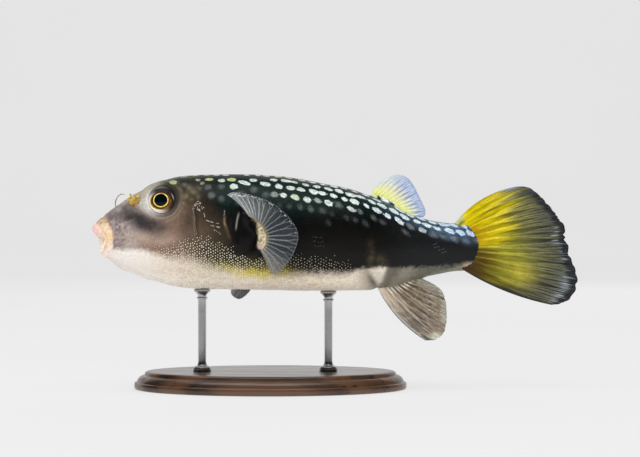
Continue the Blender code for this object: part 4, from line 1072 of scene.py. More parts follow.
def build_eye(side, word):
    C, out, fore, up = eye_frame(side)
    R, depth = EYE_R - 0.15, EYE_DEPTH - 0.05
    rings, cols = 76, 112
    t = np.linspace(0.012, 0.86 * math.pi, rings)[:, None]
    a = np.linspace(0, 2 * math.pi, cols, endpoint=False)[None, :]
    rad, high = np.sin(t) * R + 0 * a, np.cos(t) * depth + 0 * a
    front = np.cos(t) + 0 * a > 0
    # the clear front bulges a little over the iris
    high = high + 0.25 * (1 - step(4.4, 6.6, rad)) * front
    p = C + out * high[..., None] + fore * (rad * np.cos(a))[..., None] + up * (rad * np.sin(a))[..., None]
    flat = np.where(front, rad / R, 2 - rad / R) * 0.245
    uu, vv = 0.5 + flat * np.cos(a), 0.5 + flat * np.sin(a)
    px, pz = rad * np.cos(a) - 0.27, rad * np.sin(a) + 0.68
    pr, turn = np.hypot(px / 1.03, pz / 0.93), np.arctan2(pz, px)
    rim = np.hypot((px - 0.20) / 1.03, (pz + 0.48) / 0.82)
    low_front = (0.5 + 0.5 * np.cos(turn + 0.70)) ** 2.6
    # the shell is painted dark, and pale at its front and lower front; the dark at its lower back is painted shade
    shell = np.ones((*turn.shape, 3)) * linear(46, 42, 40)
    shell = mix(shell, linear(206, 196, 188), (low_front * 1.5 - 0.12).clip(0, 1))
    shell = mix(shell, linear(250, 244, 246), ((0.5 + 0.5 * np.cos(turn + 0.40)) ** 4 * 1.3).clip(0, 1))
    shell = mix(shell, linear(32, 27, 32), bell(turn - 1.45, 1.15) * 0.92)
    shell = mix(shell, linear(60, 52, 76), bell(turn - 1.35, 0.18) * bell(rim - 5.9, 0.4) * 0.5)
    # painted highlight in an arc behind the iris
    shell = mix(shell, linear(206, 208, 198), bell(turn - 2.82, 0.22) * bell(pr - 6.10, 0.20) * 0.8)
    disc = np.hypot(px + 0.5, (pz + 0.55) / 0.86)
    shell = mix(shell, linear(128, 124, 110), step(7.55, 8.15, disc) * step(-0.1, 0.5, np.sin(turn)) * step(-0.9, 0.3, np.cos(turn)) * 0.85)
    glow = 0.15 + 0.85 * (0.5 + 0.5 * np.cos(turn - 2.75)) ** 2.2 + 0.35 * (0.5 + 0.5 * np.cos(turn + 1.5)) ** 3
    obj = tube("eyeball_" + word, posed(p), EYE_MAT, closed(uu), closed(vv), flip=side < 0, attrs={
        "eye_r": np.where(front, pr, 9.0), "eye_turn": abs(turn / math.pi) + 0.35 * (pz > 0),
        "paint": shell, "eye_glow": glow.clip(0, 1), "eye_rim": np.where(front, rim, 9.0),
        "eye_arc": (0.5 + 0.5 * np.cos(turn + 0.77)) ** 5, "eye_lit": 1 - 0.75 * bell(turn - 1.6, 0.42)})
    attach(obj, "root")
    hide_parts("eye_" + word)


EYE_MAT = eye_material()
build_eye(-1, "left")
build_eye(1, "right")

# ===================================================================== NASAL FLAPS
def on_flank(x, z, off, side):
    slope = (flank_y(x, z + 0.2) - flank_y(x, z - 0.2)) / 0.4
    grow = flank_y(x + 0.5, z) - flank_y(x - 0.5, z)
    n = np.array([-grow, 1.0, -slope])
    n /= np.linalg.norm(n)
    return np.array([x + n[0] * off, side * (flank_y(x, z) + n[1] * off), z + n[2] * off])


def arm(side, *stops):
    return [on_flank(x, z, off, side) for x, z, off in stops]


FLAPS = {      # side, arms as (path, width, thickness)
    "left": (-1, [(arm(-1, (-99.2, 90.9, -2.0), (-100.0, 91.6, 0.9), (-101.3, 92.3, 2.0), (-102.9, 92.9, 2.4)), 3.5, 1.4),
                  (arm(-1, (-99.3, 90.9, -2.0), (-99.9, 92.4, 1.2), (-100.5, 93.9, 2.2), (-101.1, 95.0, 2.7)), 2.7, 1.2),
                  (arm(-1, (-98.9, 90.9, -2.0), (-98.5, 92.4, 1.0), (-98.1, 94.0, 2.1), (-97.9, 95.7, 2.3)), 3.5, 1.5),
                  (arm(-1, (-99.1, 90.7, -2.0), (-99.2, 92.0, 0.9), (-99.4, 93.4, 1.6)), 3.8, 1.5)]),
    "right": (1, [([on_flank(-102.6, 88.6, -1.6, 1), (-105.2, 13.6, 88.9), (-107.6, 13.8, 90.4), (-108.2, 13.6, 93.2),
                    (-107.2, 13.2, 95.8), (-105.4, 12.8, 97.3), (-103.0, 12.4, 97.1)], 0.74, 0.62),
                  (arm(1, (-102.2, 88.8, -2.0), (-102.0, 89.8, 0.9), (-101.2, 90.8, 1.5)), 2.4, 1.2)]),
}


def leaf(path, width, thick, across, sides=24, steps=46):
    """Rings of a fleshy tapering blade along a path, its faces wrinkled and its tip round."""
    line = smooth_line(path, steps)
    rings = []
    for i, p in enumerate(line):
        t = i / (steps - 1)
        d = line[min(i + 1, steps - 1)] - line[max(i - 1, 0)]
        d /= np.linalg.norm(d)
        a = np.array(across, float)
        a -= d * (a @ d)
        a /= np.linalg.norm(a)
        b = np.cross(d, a)
        end = math.sqrt(max(0.0, 1 - ((t - 0.84) / 0.16) ** 2)) if t > 0.84 else 1.0
        w = width / 2 * (0.62 + 0.38 * math.sin(math.pi * min(1, t * 1.1))) * (1 - 0.22 * t) * max(end, 0.06)
        h = thick / 2 * (1 - 0.35 * t) * max(end, 0.06)
        q = np.linspace(0, 2 * math.pi, sides, endpoint=False)
        wob = 1 + 0.10 * np.sin(9 * t * math.pi + 2 * q) + 0.05 * np.sin(23 * t)
        rings.append(p + np.outer(np.cos(q) * w * wob, a) + np.outer(np.sin(q) * h * wob, b))
    return np.array(rings)


def flap_material():
    n = Nodes("nasal_flap", roughness=0.36, Coat_Weight=0.3, Coat_Roughness=0.2)
    n.p.inputs["Subsurface Weight"].default_value = 0.12
    n.p.inputs["Subsurface Radius"].default_value = (0.0012, 0.0007, 0.0003)
    g = n.noise(1700, 4, 0.6)
    n.to(Base_Color=n.mix(n.span(g, 0.35, 0.7, 0.0, 0.30), n.attribute("paint"), tuple(linear(128, 88, 34))),
         Normal=n.bump(n.noise(1500, 4, 0.6), 0.00012, 0.6), Roughness=n.span(g, 0.3, 0.7, 0.3, 0.48))
    return n.m


def build_flap(word, side, arms):
    mat = FLAP_MAT
    verts, faces = [], []
    for path, width, thick in arms:
        rings = leaf(path, width, thick, (0.5, 0, 1) if side < 0 else (0.3, 1, 0))
        a, b = rings.shape[:2]
        base = len(verts)
        verts += list(posed(rings).reshape(-1, 3))
        faces += grid_faces(a, b, True, base).tolist()
        faces += [list(range(base, base + b))[::-1], list(range(base + (a - 1) * b, base + a * b))]
    rough = make("flap_rough", verts, faces, mat)
    m = rough.modifiers.new("join", "REMESH")
    m.mode, m.voxel_size, m.use_smooth_shade = "VOXEL", 0.00013, True
    bpy.context.view_layer.update()
    mesh = bpy.data.meshes.new_from_object(rough.evaluated_get(bpy.context.evaluated_depsgraph_get()))
    bpy.data.objects.remove(rough)
    bm = bmesh.new()
    bm.from_mesh(mesh)
    for _ in range(3):
        bmesh.ops.smooth_vert(bm, verts=bm.verts, factor=0.5, use_axis_x=True, use_axis_y=True, use_axis_z=True)
    bm.to_mesh(mesh)
    bm.free()
    bm2 = np.array([v.co[:] for v in mesh.vertices]) / MM
    nm = np.array([v.normal[:] for v in mesh.vertices])
    bm2 = bm2 + nm * (0.13 * noise(bm2, 1.1, 3) + 0.07 * noise(bm2, 0.6, 4))[:, None] * (1.0 if side < 0 else 0.35)
    mesh.vertices.foreach_set("co", (bm2 * MM).ravel().astype(np.float32))
    mesh.update()
    mesh.name = "flap_" + word
    obj = bpy.data.objects.new("nasal_flap_skin_" + word, mesh)
    bpy.context.scene.collection.objects.link(obj)
    mesh.materials.clear()
    mesh.materials.append(mat)
    mesh.shade_smooth()
    co = np.empty(len(mesh.vertices) * 3, np.float32)
    mesh.vertices.foreach_get("co", co)
    co = co.reshape(-1, 3).astype(float) / MM
    root = posed(on_flank(-99.2, 91.0, 0.0, side)[None])[0] / MM
    far = np.linalg.norm(co - root, axis=1)
    blotch = noise(co, 1.3, 5)
    colour = mix(np.ones(co.shape) * linear(104, 72, 40), linear(168, 124, 48), step(0.4, 2.4, far + 0.8 * blotch))
    colour = mix(colour, linear(214, 190, 96), step(2.4, 5.0, far + 1.4 * blotch) * 0.85)
    colour = mix(colour, linear(112, 78, 44), step(0.0, 0.6, noise(co, 1.2, 6)) * 0.75)
    colour = mix(colour, linear(140, 142, 84), step(0.1, 0.6, noise(co, 1.5, 8)) * step(1.6, 3.6, far) * 0.7)
    if side > 0:
        colour = mix(colour, linear(112, 104, 92), step(1.5, 3.0, far) * 0.95)
    paint(obj, "paint", colour)
    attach(obj, "root")
    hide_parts("nasal_flap_" + word)


FLAP_MAT = flap_material()
for word, (side, arms) in FLAPS.items():
    build_flap(word, side, arms)

# ============================================================================ FINS
def fan(root, edge, us, vs, bow, cup, start, cut=None):
    """Fin points (across rays, along rays, 3): each ray runs from root line to edge line.
    cut is how many mm each ray falls short of the edge line."""
    n = len(us)
    r, m = smooth_line(root, n), smooth_line(edge, n)
    d = m - r
    length = np.linalg.norm(d, axis=1)
    across = np.cross(d, np.gradient(m, axis=0))
    across /= np.linalg.norm(across, axis=1)[:, None]
    side = np.cross(across, d / length[:, None])
    reach = np.ones(n) if cut is None else 1 - cut / length
    s = (start + (1 - start) * vs[None, :] * reach[:, None])
    lift = 4 * s * (1 - s)
    bend = (bow[0] * (1 - us) + bow[1] * us)
    return (r[:, None] + d[:, None] * s[..., None] + side[:, None] * (lift * bend[:, None])[..., None]
            + across[:, None] * (lift * cup)[..., None])


def ray_pattern(us, vs, width, count, splits, thick, rng, edge=0.02, sway=0.0):
    """How much each point is on a fin ray, 0 to 1. Rays fork where splits say, and each
    fork's two sides part evenly, so that they fill the web between rays at the margin.
    width is the fin's breadth in mm across the rays, for each place along them; sway is how
    far rays wander, as a share of the breadth."""
    u = us[:, None]
    total = np.zeros((len(us), len(vs)))
    gap = (1 - 2 * edge) / count
    for i in range(count):
        c = edge + gap * (i + 0.5 + rng.normal(0, 0.07))
        lines = [(c + 0 * vs, 0.0)]
        spread = gap * 0.25
        for k, at in enumerate(splits):
            at = at + rng.normal(0, 0.045)
            part = spread * ease((vs - at) / max(0.2, (1 - at)) * 1.15) * (vs > at)
            lines = [(line + sign * part, max(start, at if sign > 0 else start))
                     for line, start in lines for sign in (-1, 1)]
            spread *= 0.5
        for n, (line, start) in enumerate(lines):
            w = thick * (1 - 0.5 * vs) * rng.uniform(0.8, 1.15)
            wander = noise(np.stack([vs * 5.5, 3.7 * i + 0.31 * n + 0 * vs, 0 * vs], -1), 1.0, 3)
            line = line + sway * wander * ease(vs * 2.5)
            bright = rng.uniform(0.68, 1.0)
            total = np.maximum(total, bright * bell((u - line[None, :]) * width[None, :], w[None, :] + 0.09))
    return total


def fin_material(name, roughness, vein, grain=1.0, bump=0.00025):
    n = Nodes(name, roughness=roughness, Coat_Weight=0.0, Coat_Roughness=0.15)
    n.p.inputs["Specular IOR Level"].default_value = 0.10
    v = n.add("ShaderNodeCombineXYZ")
    n.link(n.math("MULTIPLY", n.attribute("fin_u", True), vein), v.inputs[0])
    n.link(n.math("MULTIPLY", n.attribute("fin_v", True), vein * 0.10), v.inputs[1])
    streak = n.add("ShaderNodeTexNoise", noise_dimensions="2D")
    streak.inputs["Scale"].default_value = 1.0
    streak.inputs["Detail"].default_value = 5
    streak.inputs["Roughness"].default_value = 0.6
    n.link(v.outputs[0], streak.inputs["Vector"])
    streak = streak.outputs["Fac"]
    # the rays are made of short joints
    w = n.add("ShaderNodeCombineXYZ")
    n.link(n.math("MULTIPLY", n.attribute("fin_v", True), vein * 0.9), w.inputs[1])
    n.link(n.math("MULTIPLY", n.attribute("fin_u", True), vein * 0.25), w.inputs[0])
    joint = n.add("ShaderNodeTexNoise", noise_dimensions="2D")
    joint.inputs["Scale"].default_value = 1.0
    joint.inputs["Detail"].default_value = 2
    n.link(w.outputs[0], joint.inputs["Vector"])
    joint = joint.outputs["Fac"]
    ray = n.attribute("ray", True)
    tone = n.math("ADD", n.span(streak, 0.3, 0.7, 1 - 0.30 * grain, 1 + 0.26 * grain, False),
                  n.math("MULTIPLY", ray, n.span(joint, 0.35, 0.65, -0.14, 0.14, False)))
    shade = n.add("ShaderNodeCombineColor")
    for k in range(3):
        n.link(tone, shade.inputs[k])
    colour = n.mix(1.0, n.attribute("paint"), shade.outputs[0], "MULTIPLY")
    height = n.math("ADD", n.math("MULTIPLY", streak, 0.6), n.math("MULTIPLY", n.math("MULTIPLY", ray, joint), 0.7))
    n.to(Base_Color=colour, Normal=n.bump(height, bump, 0.6), Alpha=n.attribute("cover", True),
         Roughness=n.span(streak, 0.3, 0.7, roughness - 0.08, roughness + 0.10))
    return n.m


def build_fin(name, node, root, edge, size, bow, cup, start, body, rays, colours, mat, seed,
              wave=0.0, shape=None, ragged=(0.5, 0.2), side=1):
    """One fin as a closed sheet. body is (root, margin, foot height, foot reach) of its half
    thickness; rays is (count, forks, half width)."""
    rng = np.random.default_rng(seed)
    nu, nv = size
    us, vs = np.linspace(0, 1, nu), np.linspace(0, 1, nv)
    plain = fan(root, edge, us, vs, bow, cup, start)
    width = np.linalg.norm(np.diff(plain, axis=0), axis=2).sum(0)
    ray = ray_pattern(us, vs, width, rays[0], rays[1], rays[2], rng, sway=rays[3] if len(rays) > 3 else 0.0)
    # the web falls short of the ray tips, and is nicked here and there
    tip = np.convolve(np.pad(ray[:, -2], 3, mode="edge"), np.ones(7) / 7, "valid")
    nick = np.zeros(nu)
    for c, deep, wide in [(rng.uniform(0.08, 0.97), rng.uniform(0.3, 1.0), rng.uniform(0.004, 0.012))
                          for _ in range(int(rays[0] * 1.6))]:
        nick += deep * bell(us - c, wide)
    cut = ragged[0] * (1 - tip) + ragged[1] * nick
    if shape is not None:
        cut = cut + shape(us)
    cut *= step(0.0, 0.06, us) * step(1.0, 0.95, us)
    g = fan(root, edge, us, vs, bow, cup, start, cut)
    if wave:
        ripple = np.sin(us * rays[0] * math.pi * 0.9 + 1.3)[:, None] * 0.4 + noise(g, 13.0, seed)
        g[..., 1] += wave * ripple * ease(vs)[None, :]
    if name == "caudal":
        g[..., 1] += 2.2 * np.sin((g[..., 2] - 60) / 16) * ease((g[..., 0] - 66) / 55)
    n = grid_normals(g, False)
    v = vs[None, :]
    half = (body[1] + (body[0] - body[1]) * (1 - v) ** 1.5 + body[2] * np.clip(1 - v / body[3], 0, 1) ** 1.5
            + 0.0 * us[:, None])
    rim = np.minimum(1, np.minimum(us, 1 - us)[:, None] / 0.006) ** 0.5
    tipfall = np.minimum(1, (1 - v) / 0.012) ** 0.5
    half = (half + ray * 0.17 * (1 - 0.45 * v)) * (0.25 + 0.75 * rim) * (0.25 + 0.75 * tipfall)
    front, back = g + n * half[..., None], g - n * half[..., None]
    # front and back are one ring per place along the rays, so the sheet closes on itself
    ring = np.concatenate([front.transpose(1, 0, 2), back.transpose(1, 0, 2)[:, ::-1]], 1)
    uu = np.concatenate([us, us[::-1]])
    field = lambda f: np.concatenate([f.T, f.T[:, ::-1]], 1)
    colour, cover = colours(us[:, None] + 0 * v, v + 0 * us[:, None], ray, g)
    colour = np.concatenate([colour.transpose(1, 0, 2), colour.transpose(1, 0, 2)[:, ::-1]], 1)
    row = np.linspace(0.02, 0.98, 2 * nu + 1)
    obj = tube(name + "_web", posed(ring), mat, np.repeat(row[None], nv, 0),
               np.repeat((0.02 + 0.96 * vs)[:, None], 2 * nu + 1, 1), flip=side > 0, pinch=True, attrs={
                   "paint": colour, "cover": field(cover), "ray": field(ray),
                   "fin_u": np.repeat(uu[None], nv, 0) + 0.0, "fin_v": np.repeat(vs[:, None], 2 * nu, 1)})
    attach(obj, "root")
    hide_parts(node)
    return obj


def flat(points):
    return [(x, 0.0, z) for x, z in points]


DORSAL_ROOT = [(18.0, 95.2), (25.2, 91.6), (31.5, 88.6), (35.5, 86.6)]
DORSAL_EDGE = [(28.3, 106.4), (32.3, 107.2), (35.8, 106.2), (38.6, 103.4), (40.9, 99.5), (43.1, 95.0),
               (45.2, 90.6), (45.7, 87.6), (44.6, 85.9)]
ANAL_ROOT = [(20.8, 52.2), (29.0, 53.0), (34.5, 54.6), (39.6, 56.2)]
ANAL_EDGE = [(45.4, 24.2), (50.6, 24.6), (54.4, 27.6), (55.9, 32.0), (56.1, 38.5), (55.5, 44.6), (53.6, 49.2),
             (49.8, 52.0), (45.4, 53.6)]
CAUDAL_ROOT = [(60.2, 82.9), (64.6, 78.0), (65.6, 71.4), (65.0, 65.0), (63.6, 59.8)]
CAUDAL_EDGE = [(88.6, 100.6), (93.0, 101.2), (97.8, 100.3), (102.0, 97.2), (106.6, 92.4), (111.4, 86.8),
               (115.4, 80.6), (116.7, 74.4), (117.4, 67.6), (119.6, 61.6), (121.2, 55.6),
               (120.5, 50.2), (117.8, 45.6), (113.6, 42.8), (107.8, 42.2)]
PECTORAL_EDGE = {
    -1: [(-54.2, 38.4, 96.2), (-51.0, 41.2, 97.4), (-44.8, 44.0, 96.9), (-38.2, 45.8, 95.3),
         (-31.4, 46.9, 93.0), (-25.0, 47.3, 88.7), (-19.9, 47.2, 83.0), (-17.5, 46.6, 77.9),
         (-17.9, 45.6, 72.9), (-20.4, 44.2, 66.9), (-24.2, 42.4, 61.5), (-27.9, 40.6, 58.2),
         (-31.2, 38.8, 58.5)],
    1: [(-29.4, 36.4, 103.0), (-27.0, 40.0, 100.6), (-25.6, 43.6, 96.4), (-25.6, 46.6, 90.8),
        (-27.0, 48.4, 83.4), (-29.4, 49.0, 75.4), (-32.6, 48.0, 67.4), (-36.4, 45.8, 59.6),
        (-40.2, 42.8, 52.0), (-44.0, 39.4, 45.8), (-48.0, 36.6, 43.2), (-51.4, 35.0, 45.8),
        (-51.6, 33.8, 50.4)],
}


def lines_of(u, v, seed, along=3.0, across=40.0):
    """Streaky noise that runs along the rays."""
    return noise(np.stack([u * across, v * along, 0 * u], -1), 1.0, seed)


def caudal_colours(u, v, ray, p):
    c = np.ones((*u.shape, 3)) * linear(54, 55, 50)
    wander = 0.13 * lines_of(u, v, 5, 1.4, 30.0) + 0.08 * lines_of(u, v, 6, 2.5, 80.0)
    reach = through([(0.0, 0.80), (0.10, 0.72), (0.22, 0.60), (0.4, 0.47), (0.55, 0.42), (0.7, 0.40), (1.0, 0.30)], u)
    olive = step(1.0, 0.0, (v - reach + wander) / (0.34 + 0.20 * bell(u - 0.6, 0.16)))
    c = mix(c, linear(132, 128, 40), olive)
    c = mix(c, linear(92, 90, 62), bell(v - 0.62, 0.12) * step(0.15, 0.3, u) * 0.5)
    yellow = step(1.0, 0.0, (v - reach + 0.12 + wander) / 0.20) * (1 - 0.88 * step(0.46, 0.64, u + 0.3 * wander))
    c = mix(c, linear(218, 197, 0), yellow)
    c = mix(c, linear(156, 106, 0), bell(v, 0.22) * step(0.12, 0.32, u) * (1 - step(0.45, 0.62, u)) * 0.95)
    c = mix(c, linear(196, 204, 150), (1 - step(0.03, 0.10, u)) * (1 - step(0.08, 0.19, v)) * 0.85)
    c = mix(c, linear(92, 104, 66), bell(u - 0.085, 0.035) * (1 - step(0.06, 0.13, v)) * 0.8)
    c = mix(c, linear(92, 88, 20), step(0.25, 0.7, lines_of(u, v, 7, 1.5, 24.0)) * bell(v - 0.42, 0.2) * (1 - step(0.45, 0.6, u)) * 0.6)
    # brown at the lower root, and a mustard patch beyond it
    c = mix(c, linear(80, 60, 14), step(0.50, 0.62, u) * (1 - step(0.14, 0.42, v + 0.5 * wander)) * 0.96)
    c = mix(c, linear(66, 48, 30), step(0.66, 0.86, u) * (1 - step(0.0, 0.26, v)) * 0.9)
    c = mix(c, linear(196, 184, 62), bell(u - 0.77, 0.12) * bell(v - 0.50, 0.13) * 0.85)
    c = mix(c, linear(150, 150, 52), bell(u - 0.60, 0.10) * bell(v - 0.50, 0.14) * 0.6)
    c = mix(c, linear(72, 66, 40), step(0.88, 0.97, u) * step(0.25, 0.45, v) * 0.85)
    # webs darker with streaks, rays lighter
    streak = 0.5 + 0.5 * lines_of(u, v, 12, 4.0, 90.0)
    broad = step(0.05, 0.55, lines_of(u, v, 16, 1.1, 34.0))
    c = mix(c, c * 0.50, broad * bell(v - 0.30, 0.22) * 0.62 * step(0.03, 0.10, u))
    c = mix(c, c * 0.42, (1 - ray) * (0.10 + 0.30 * step(0.15, 0.5, v) + 0.32 * streak * step(0.05, 0.3, v)))
    c = mix(c, linear(138, 138, 116), ray * step(0.42, 0.72, v) * (0.34 + 0.25 * streak))
    c = mix(c, linear(240, 226, 90), ray * bell(v - reach + 0.12, 0.2) * (1 - step(0.5, 0.9, u)) * 0.40)
    # bluish upper tip, pale streaks at the lower tip, and the near black margin
    c = mix(c, linear(150, 160, 206), step(0.78, 0.90, v) * (1 - step(0.02, 0.09, u)) * 0.9)
    c = mix(c, linear(60, 62, 66), bell(u - 0.15, 0.06) * step(0.78, 0.9, v) * 0.5)
    flecks = step(0.30, 0.6, lines_of(u, v, 9, 9.0, 170.0))
    c = mix(c, linear(200, 214, 232), (0.35 * ray + 0.65 * flecks) * bell(v - 0.90, 0.05) * bell(u - 0.82, 0.09) * 0.85)
    c = mix(c, linear(156, 166, 176), flecks * bell(v - 0.94, 0.03) * step(0.3, 0.45, u) * 0.75)
    c = mix(c, linear(166, 176, 190), flecks * bell(v - 0.90, 0.05) * bell(u - 0.48, 0.05) * 0.8)
    dark = step(0.890, 0.955, v + 0.03 * lines_of(u, v, 4, 3.0, 30.0)) * step(0.10, 0.2, u)
    c = mix(c, linear(26, 30, 40), dark * 0.85 * (1 - 0.5 * flecks))
    c = mix(c, linear(50, 47, 45), step(0.955, 0.985, u) * step(0.04, 0.2, v) * 0.85)
    return c, np.ones(u.shape) * (0.985 - 0.06 * step(0.75, 1.0, v) * (1 - ray))


def dorsal_colours(u, v, ray, p):
    c = np.ones((*u.shape, 3)) * linear(236, 240, 222)
    c = mix(c, linear(236, 240, 152), step(0.70, 0.30, v + 0.08 * lines_of(u, v, 2, 2.0, 20.0)) * 0.90)
    c = mix(c, linear(232, 236, 124), (1 - step(0.10, 0.36, v + 0.06 * lines_of(u, v, 3, 2.0, 30.0))) * (1 - 0.4 * step(0.3, 0.8, u)))
    c = mix(c, linear(244, 230, 196), bell(u - 0.34, 0.16) * bell(v - 0.50, 0.16) * 0.55)
    c = mix(c, linear(172, 192, 234), step(0.52, 0.84, v) * (0.35 + 0.65 * step(0.02, 0.35, u)) * 0.9)
    c = mix(c, linear(92, 118, 176), (1 - ray) ** 3 * step(0.30, 0.62, v) * (0.22 + 0.34 * step(0.2, 0.5, u)))
    c = mix(c, linear(140, 156, 200), step(0.90, 0.99, v) * step(0.12, 0.4, u) * 0.65)
    c = mix(c, linear(226, 238, 248), (1 - step(0.0, 0.10, u)) * step(0.3, 0.7, v) * 0.8)
    shade = (1 - ray) ** 2 * (0.08 + 0.36 * step(0.40, 0.85, v) * step(0.15, 0.45, u))
    c = mix(c, c * np.array([0.36, 0.44, 0.62]), shade)
    c = mix(c, c * np.array([0.40, 0.44, 0.40]), ray * bell(v - 0.14, 0.10) * 0.35)
    c = mix(c, linear(250, 252, 236), ray * step(0.3, 0.5, v) * 0.20)
    return c, np.ones(u.shape) * (0.93 - 0.30 * step(0.3, 0.9, v) * (1 - ray))


def anal_colours(u, v, ray, p):
    streak = lines_of(u, v, 14, 5.0, 70.0)
    mottle = lines_of(u, v, 15, 22.0, 44.0)
    c = np.ones((*u.shape, 3)) * linear(142, 124, 104)
    c = mix(c, linear(226, 206, 184), (1 - step(0.04, 0.46, u)) * (1 - step(0.20, 0.62, v)) * 0.85)
    c = c * (1 - 0.28 * step(0.40, 0.62, v))[..., None]
    c = mix(c, linear(104, 88, 62), bell(u - 0.55, 0.22) * bell(v - 0.36, 0.22) * 0.9)
    c = mix(c, linear(100, 86, 66), bell(u - 0.42, 0.12) * step(0.4, 0.6, v) * (1 - step(0.8, 0.95, v)) * 0.6)
    c = mix(c, linear(160, 164, 152), step(0.62, 0.86, u) * step(0.18, 0.55, v) * 0.9)
    c = mix(c, linear(92, 84, 80), bell(v - 0.70, 0.18) * (1 - step(0.20, 0.42, u)) * 0.7)
    c = mix(c, c * 0.42, ((1 - ray) * (0.44 - 0.14 * step(0.5, 1.0, v)) + 0.32 * streak.clip(0, 1) + 0.42 * mottle.clip(0, 1)).clip(0, 0.97))
    c = mix(c, linear(206, 194, 176), (ray * (0.25 + 0.5 * (-streak).clip(0, 1)) + 0.25 * (-mottle).clip(0, 1)).clip(0, 0.8))
    # pale knuckles where the rays start, dark between them
    knob = bell(v - 0.10 - 0.10 * u, 0.055) * step(0.08, 0.2, u)
    c = mix(c, linear(236, 226, 208), ray * knob)
    c = mix(c, linear(74, 60, 44), (1 - ray) * bell(v - 0.13 - 0.10 * u, 0.10) * step(0.15, 0.35, u) * 0.75)
    c = mix(c, linear(246, 236, 222), (1 - step(0.0, 0.22, v)) * (1 - step(0.04, 0.16, u)) * 0.8)
    c = mix(c, linear(196, 200, 194), bell(u - 0.030, 0.018) * step(0.1, 0.3, v) * 0.8)
    c = mix(c, linear(96, 104, 108), (1 - step(0.004, 0.016, u)) * step(0.08, 0.2, v) * 0.8)
    c = mix(c, linear(48, 46, 40), bell(u - 0.055, 0.035) * step(0.84, 0.93, v) * 0.9)
    c = mix(c, linear(214, 214, 196), bell(u - 0.16, 0.06) * step(0.86, 0.95, v) * 0.85)
    edge = step(0.86, 0.95, v + 0.05 * streak) * step(0.28, 0.4, u)
    c = mix(c, linear(84, 90, 84), edge * 0.6 * (1 - ray))
    c = mix(c, linear(214, 212, 196), edge * 0.5 * ray)
    return c, np.ones(u.shape) * (0.97 - 0.22 * step(0.2, 0.9, v) * (1 - ray) * (0.4 + 0.6 * step(0.6, 0.8, u)))


def pectoral_colours(fin_side):
    def colours(u, v, ray, p):
        streak = lines_of(u, v, 21, 3.0, 90.0)
        # the far fin is painted darker and bluer than the near one; this is painted shade
        c = np.ones((*u.shape, 3)) * (linear(66, 71, 77) if fin_side < 0 else linear(40, 54, 64))
        c = mix(c, c * 0.7, streak.clip(0, 1) * 0.6)
        c = mix(c, linear(150, 156, 158), bell(u - 0.26, 0.14) * 0.55 * (fin_side < 0))
        c = mix(c, linear(186, 192, 192), (1 - step(0.04, 0.24, u)) * (0.62 if fin_side < 0 else 0.3))
        c = mix(c, linear(150, 147, 141), step(0.76, 0.98, u) * (0.80 if fin_side < 0 else 0.75))
        if fin_side > 0:
            c = mix(c, linear(204, 214, 216), bell(u - 0.97, 0.02) * 0.9)
        c = mix(c, linear(166, 172, 172), ray * (0.64 - 0.30 * step(0.4, 1.0, v)))
        c = mix(c, linear(244, 246, 246), ray * (1 - step(0.16, 0.42, u)) * step(0.08, 0.25, v) * (0.58 if fin_side < 0 else 0.3))
        c = mix(c, linear(168, 152, 112), (1 - step(0.0, 0.10, v)) * 0.8)
        front = (1 - step(0.45, 0.7, u)) * (fin_side < 0)
        c = mix(c, c * 0.42, (1 - ray) ** 1.5 * (0.45 + 0.55 * step(0.55, 0.9, v)) * front * step(0.02, 0.10, u) * 0.85)
        c = mix(c, linear(30, 36, 40), bell(v - 0.93, 0.045) * front * step(0.03, 0.08, u) * 0.7)
        speck = step(0.05, 0.35, lines_of(u, v, 22, 1.0, 105.0)) * bell(v - 0.925, 0.022)
        speck = np.maximum(speck, step(0.1, 0.4, lines_of(u, v, 23, 12.0, 58.0)) * bell(v - 0.86, 0.05) * (1 - step(0.12, 0.25, u)))
        c = mix(c, linear(250, 252, 252), (speck * front).clip(0, 1))
        c = mix(c, linear(150, 160, 168), step(0.975, 0.995, v) * 0.4)
        cover = 0.62 + 0.30 * ray + 0.45 * (1 - step(0.12, 0.42, u)) + 0.1 * step(0.95, 1.0, v)
        if fin_side > 0:
            cover = cover + 0.25
        return c, cover.clip(0, 0.97)
    return colours


def caudal_shape(us):
    return (1.9 * bell(us - 0.475, 0.012) + 0.9 * bell(us - 0.505, 0.02) + 0.7 * bell(us - 0.34, 0.008)
            + 0.6 * bell(us - 0.60, 0.010) + 0.5 * np.sin(us * 46) ** 2 * step(0.2, 0.3, us))


build_fin("caudal", "caudal_fin", flat(CAUDAL_ROOT), flat(CAUDAL_EDGE), (440, 110),
          (-3.0, 2.2), 0.0, 0.0, (1.0, 0.12, 2.2, 0.30), (12, (0.14, 0.38, 0.66), 0.34, 0.006), caudal_colours,
          fin_material("caudal_web", 0.42, 90.0), 5, wave=0.35, shape=caudal_shape, ragged=(0.55, 0.5))
build_fin("dorsal", "dorsal_fin", flat(DORSAL_ROOT), flat(DORSAL_EDGE), (260, 64),
          (-1.8, 0.4), 0.5, 0.0, (0.8, 0.10, 1.2, 0.5), (12, (0.42, 0.72), 0.28, 0.004), dorsal_colours,
          fin_material("dorsal_web", 0.40, 60.0, 0.45), 6, wave=0.2, ragged=(0.4, 0.2))
build_fin("anal", "anal_fin", flat(ANAL_ROOT), flat(ANAL_EDGE), (270, 80),
          (-2.9, 1.0), 0.6, 0.0, (0.85, 0.10, 1.1, 0.35), (12, (0.24, 0.50, 0.78), 0.34, 0.022), anal_colours,
          fin_material("anal_web", 0.42, 80.0, 1.35), 7, wave=0.25, ragged=(0.45, 0.25))
for side, word in ((-1, "left"), (1, "right")):
    root = [(x, side * y, z) for x, y, z in PECTORAL_ROOT[side]]
    edge = [(x, side * y, z) for x, y, z in PECTORAL_EDGE[side]]
    build_fin("pectoral_" + word, "pectoral_fin_" + word, root, edge, (400, 70), (0.0, 0.0),
              -1.2 * side, 0.0, (0.62, 0.09, 0.0, 0.3), (18, (0.52,), 0.24, 0.003), pectoral_colours(side),
              fin_material("pectoral_web_" + word, 0.38, 80.0), 8 + side, wave=0.3, ragged=(0.3, 0.15), side=-side)


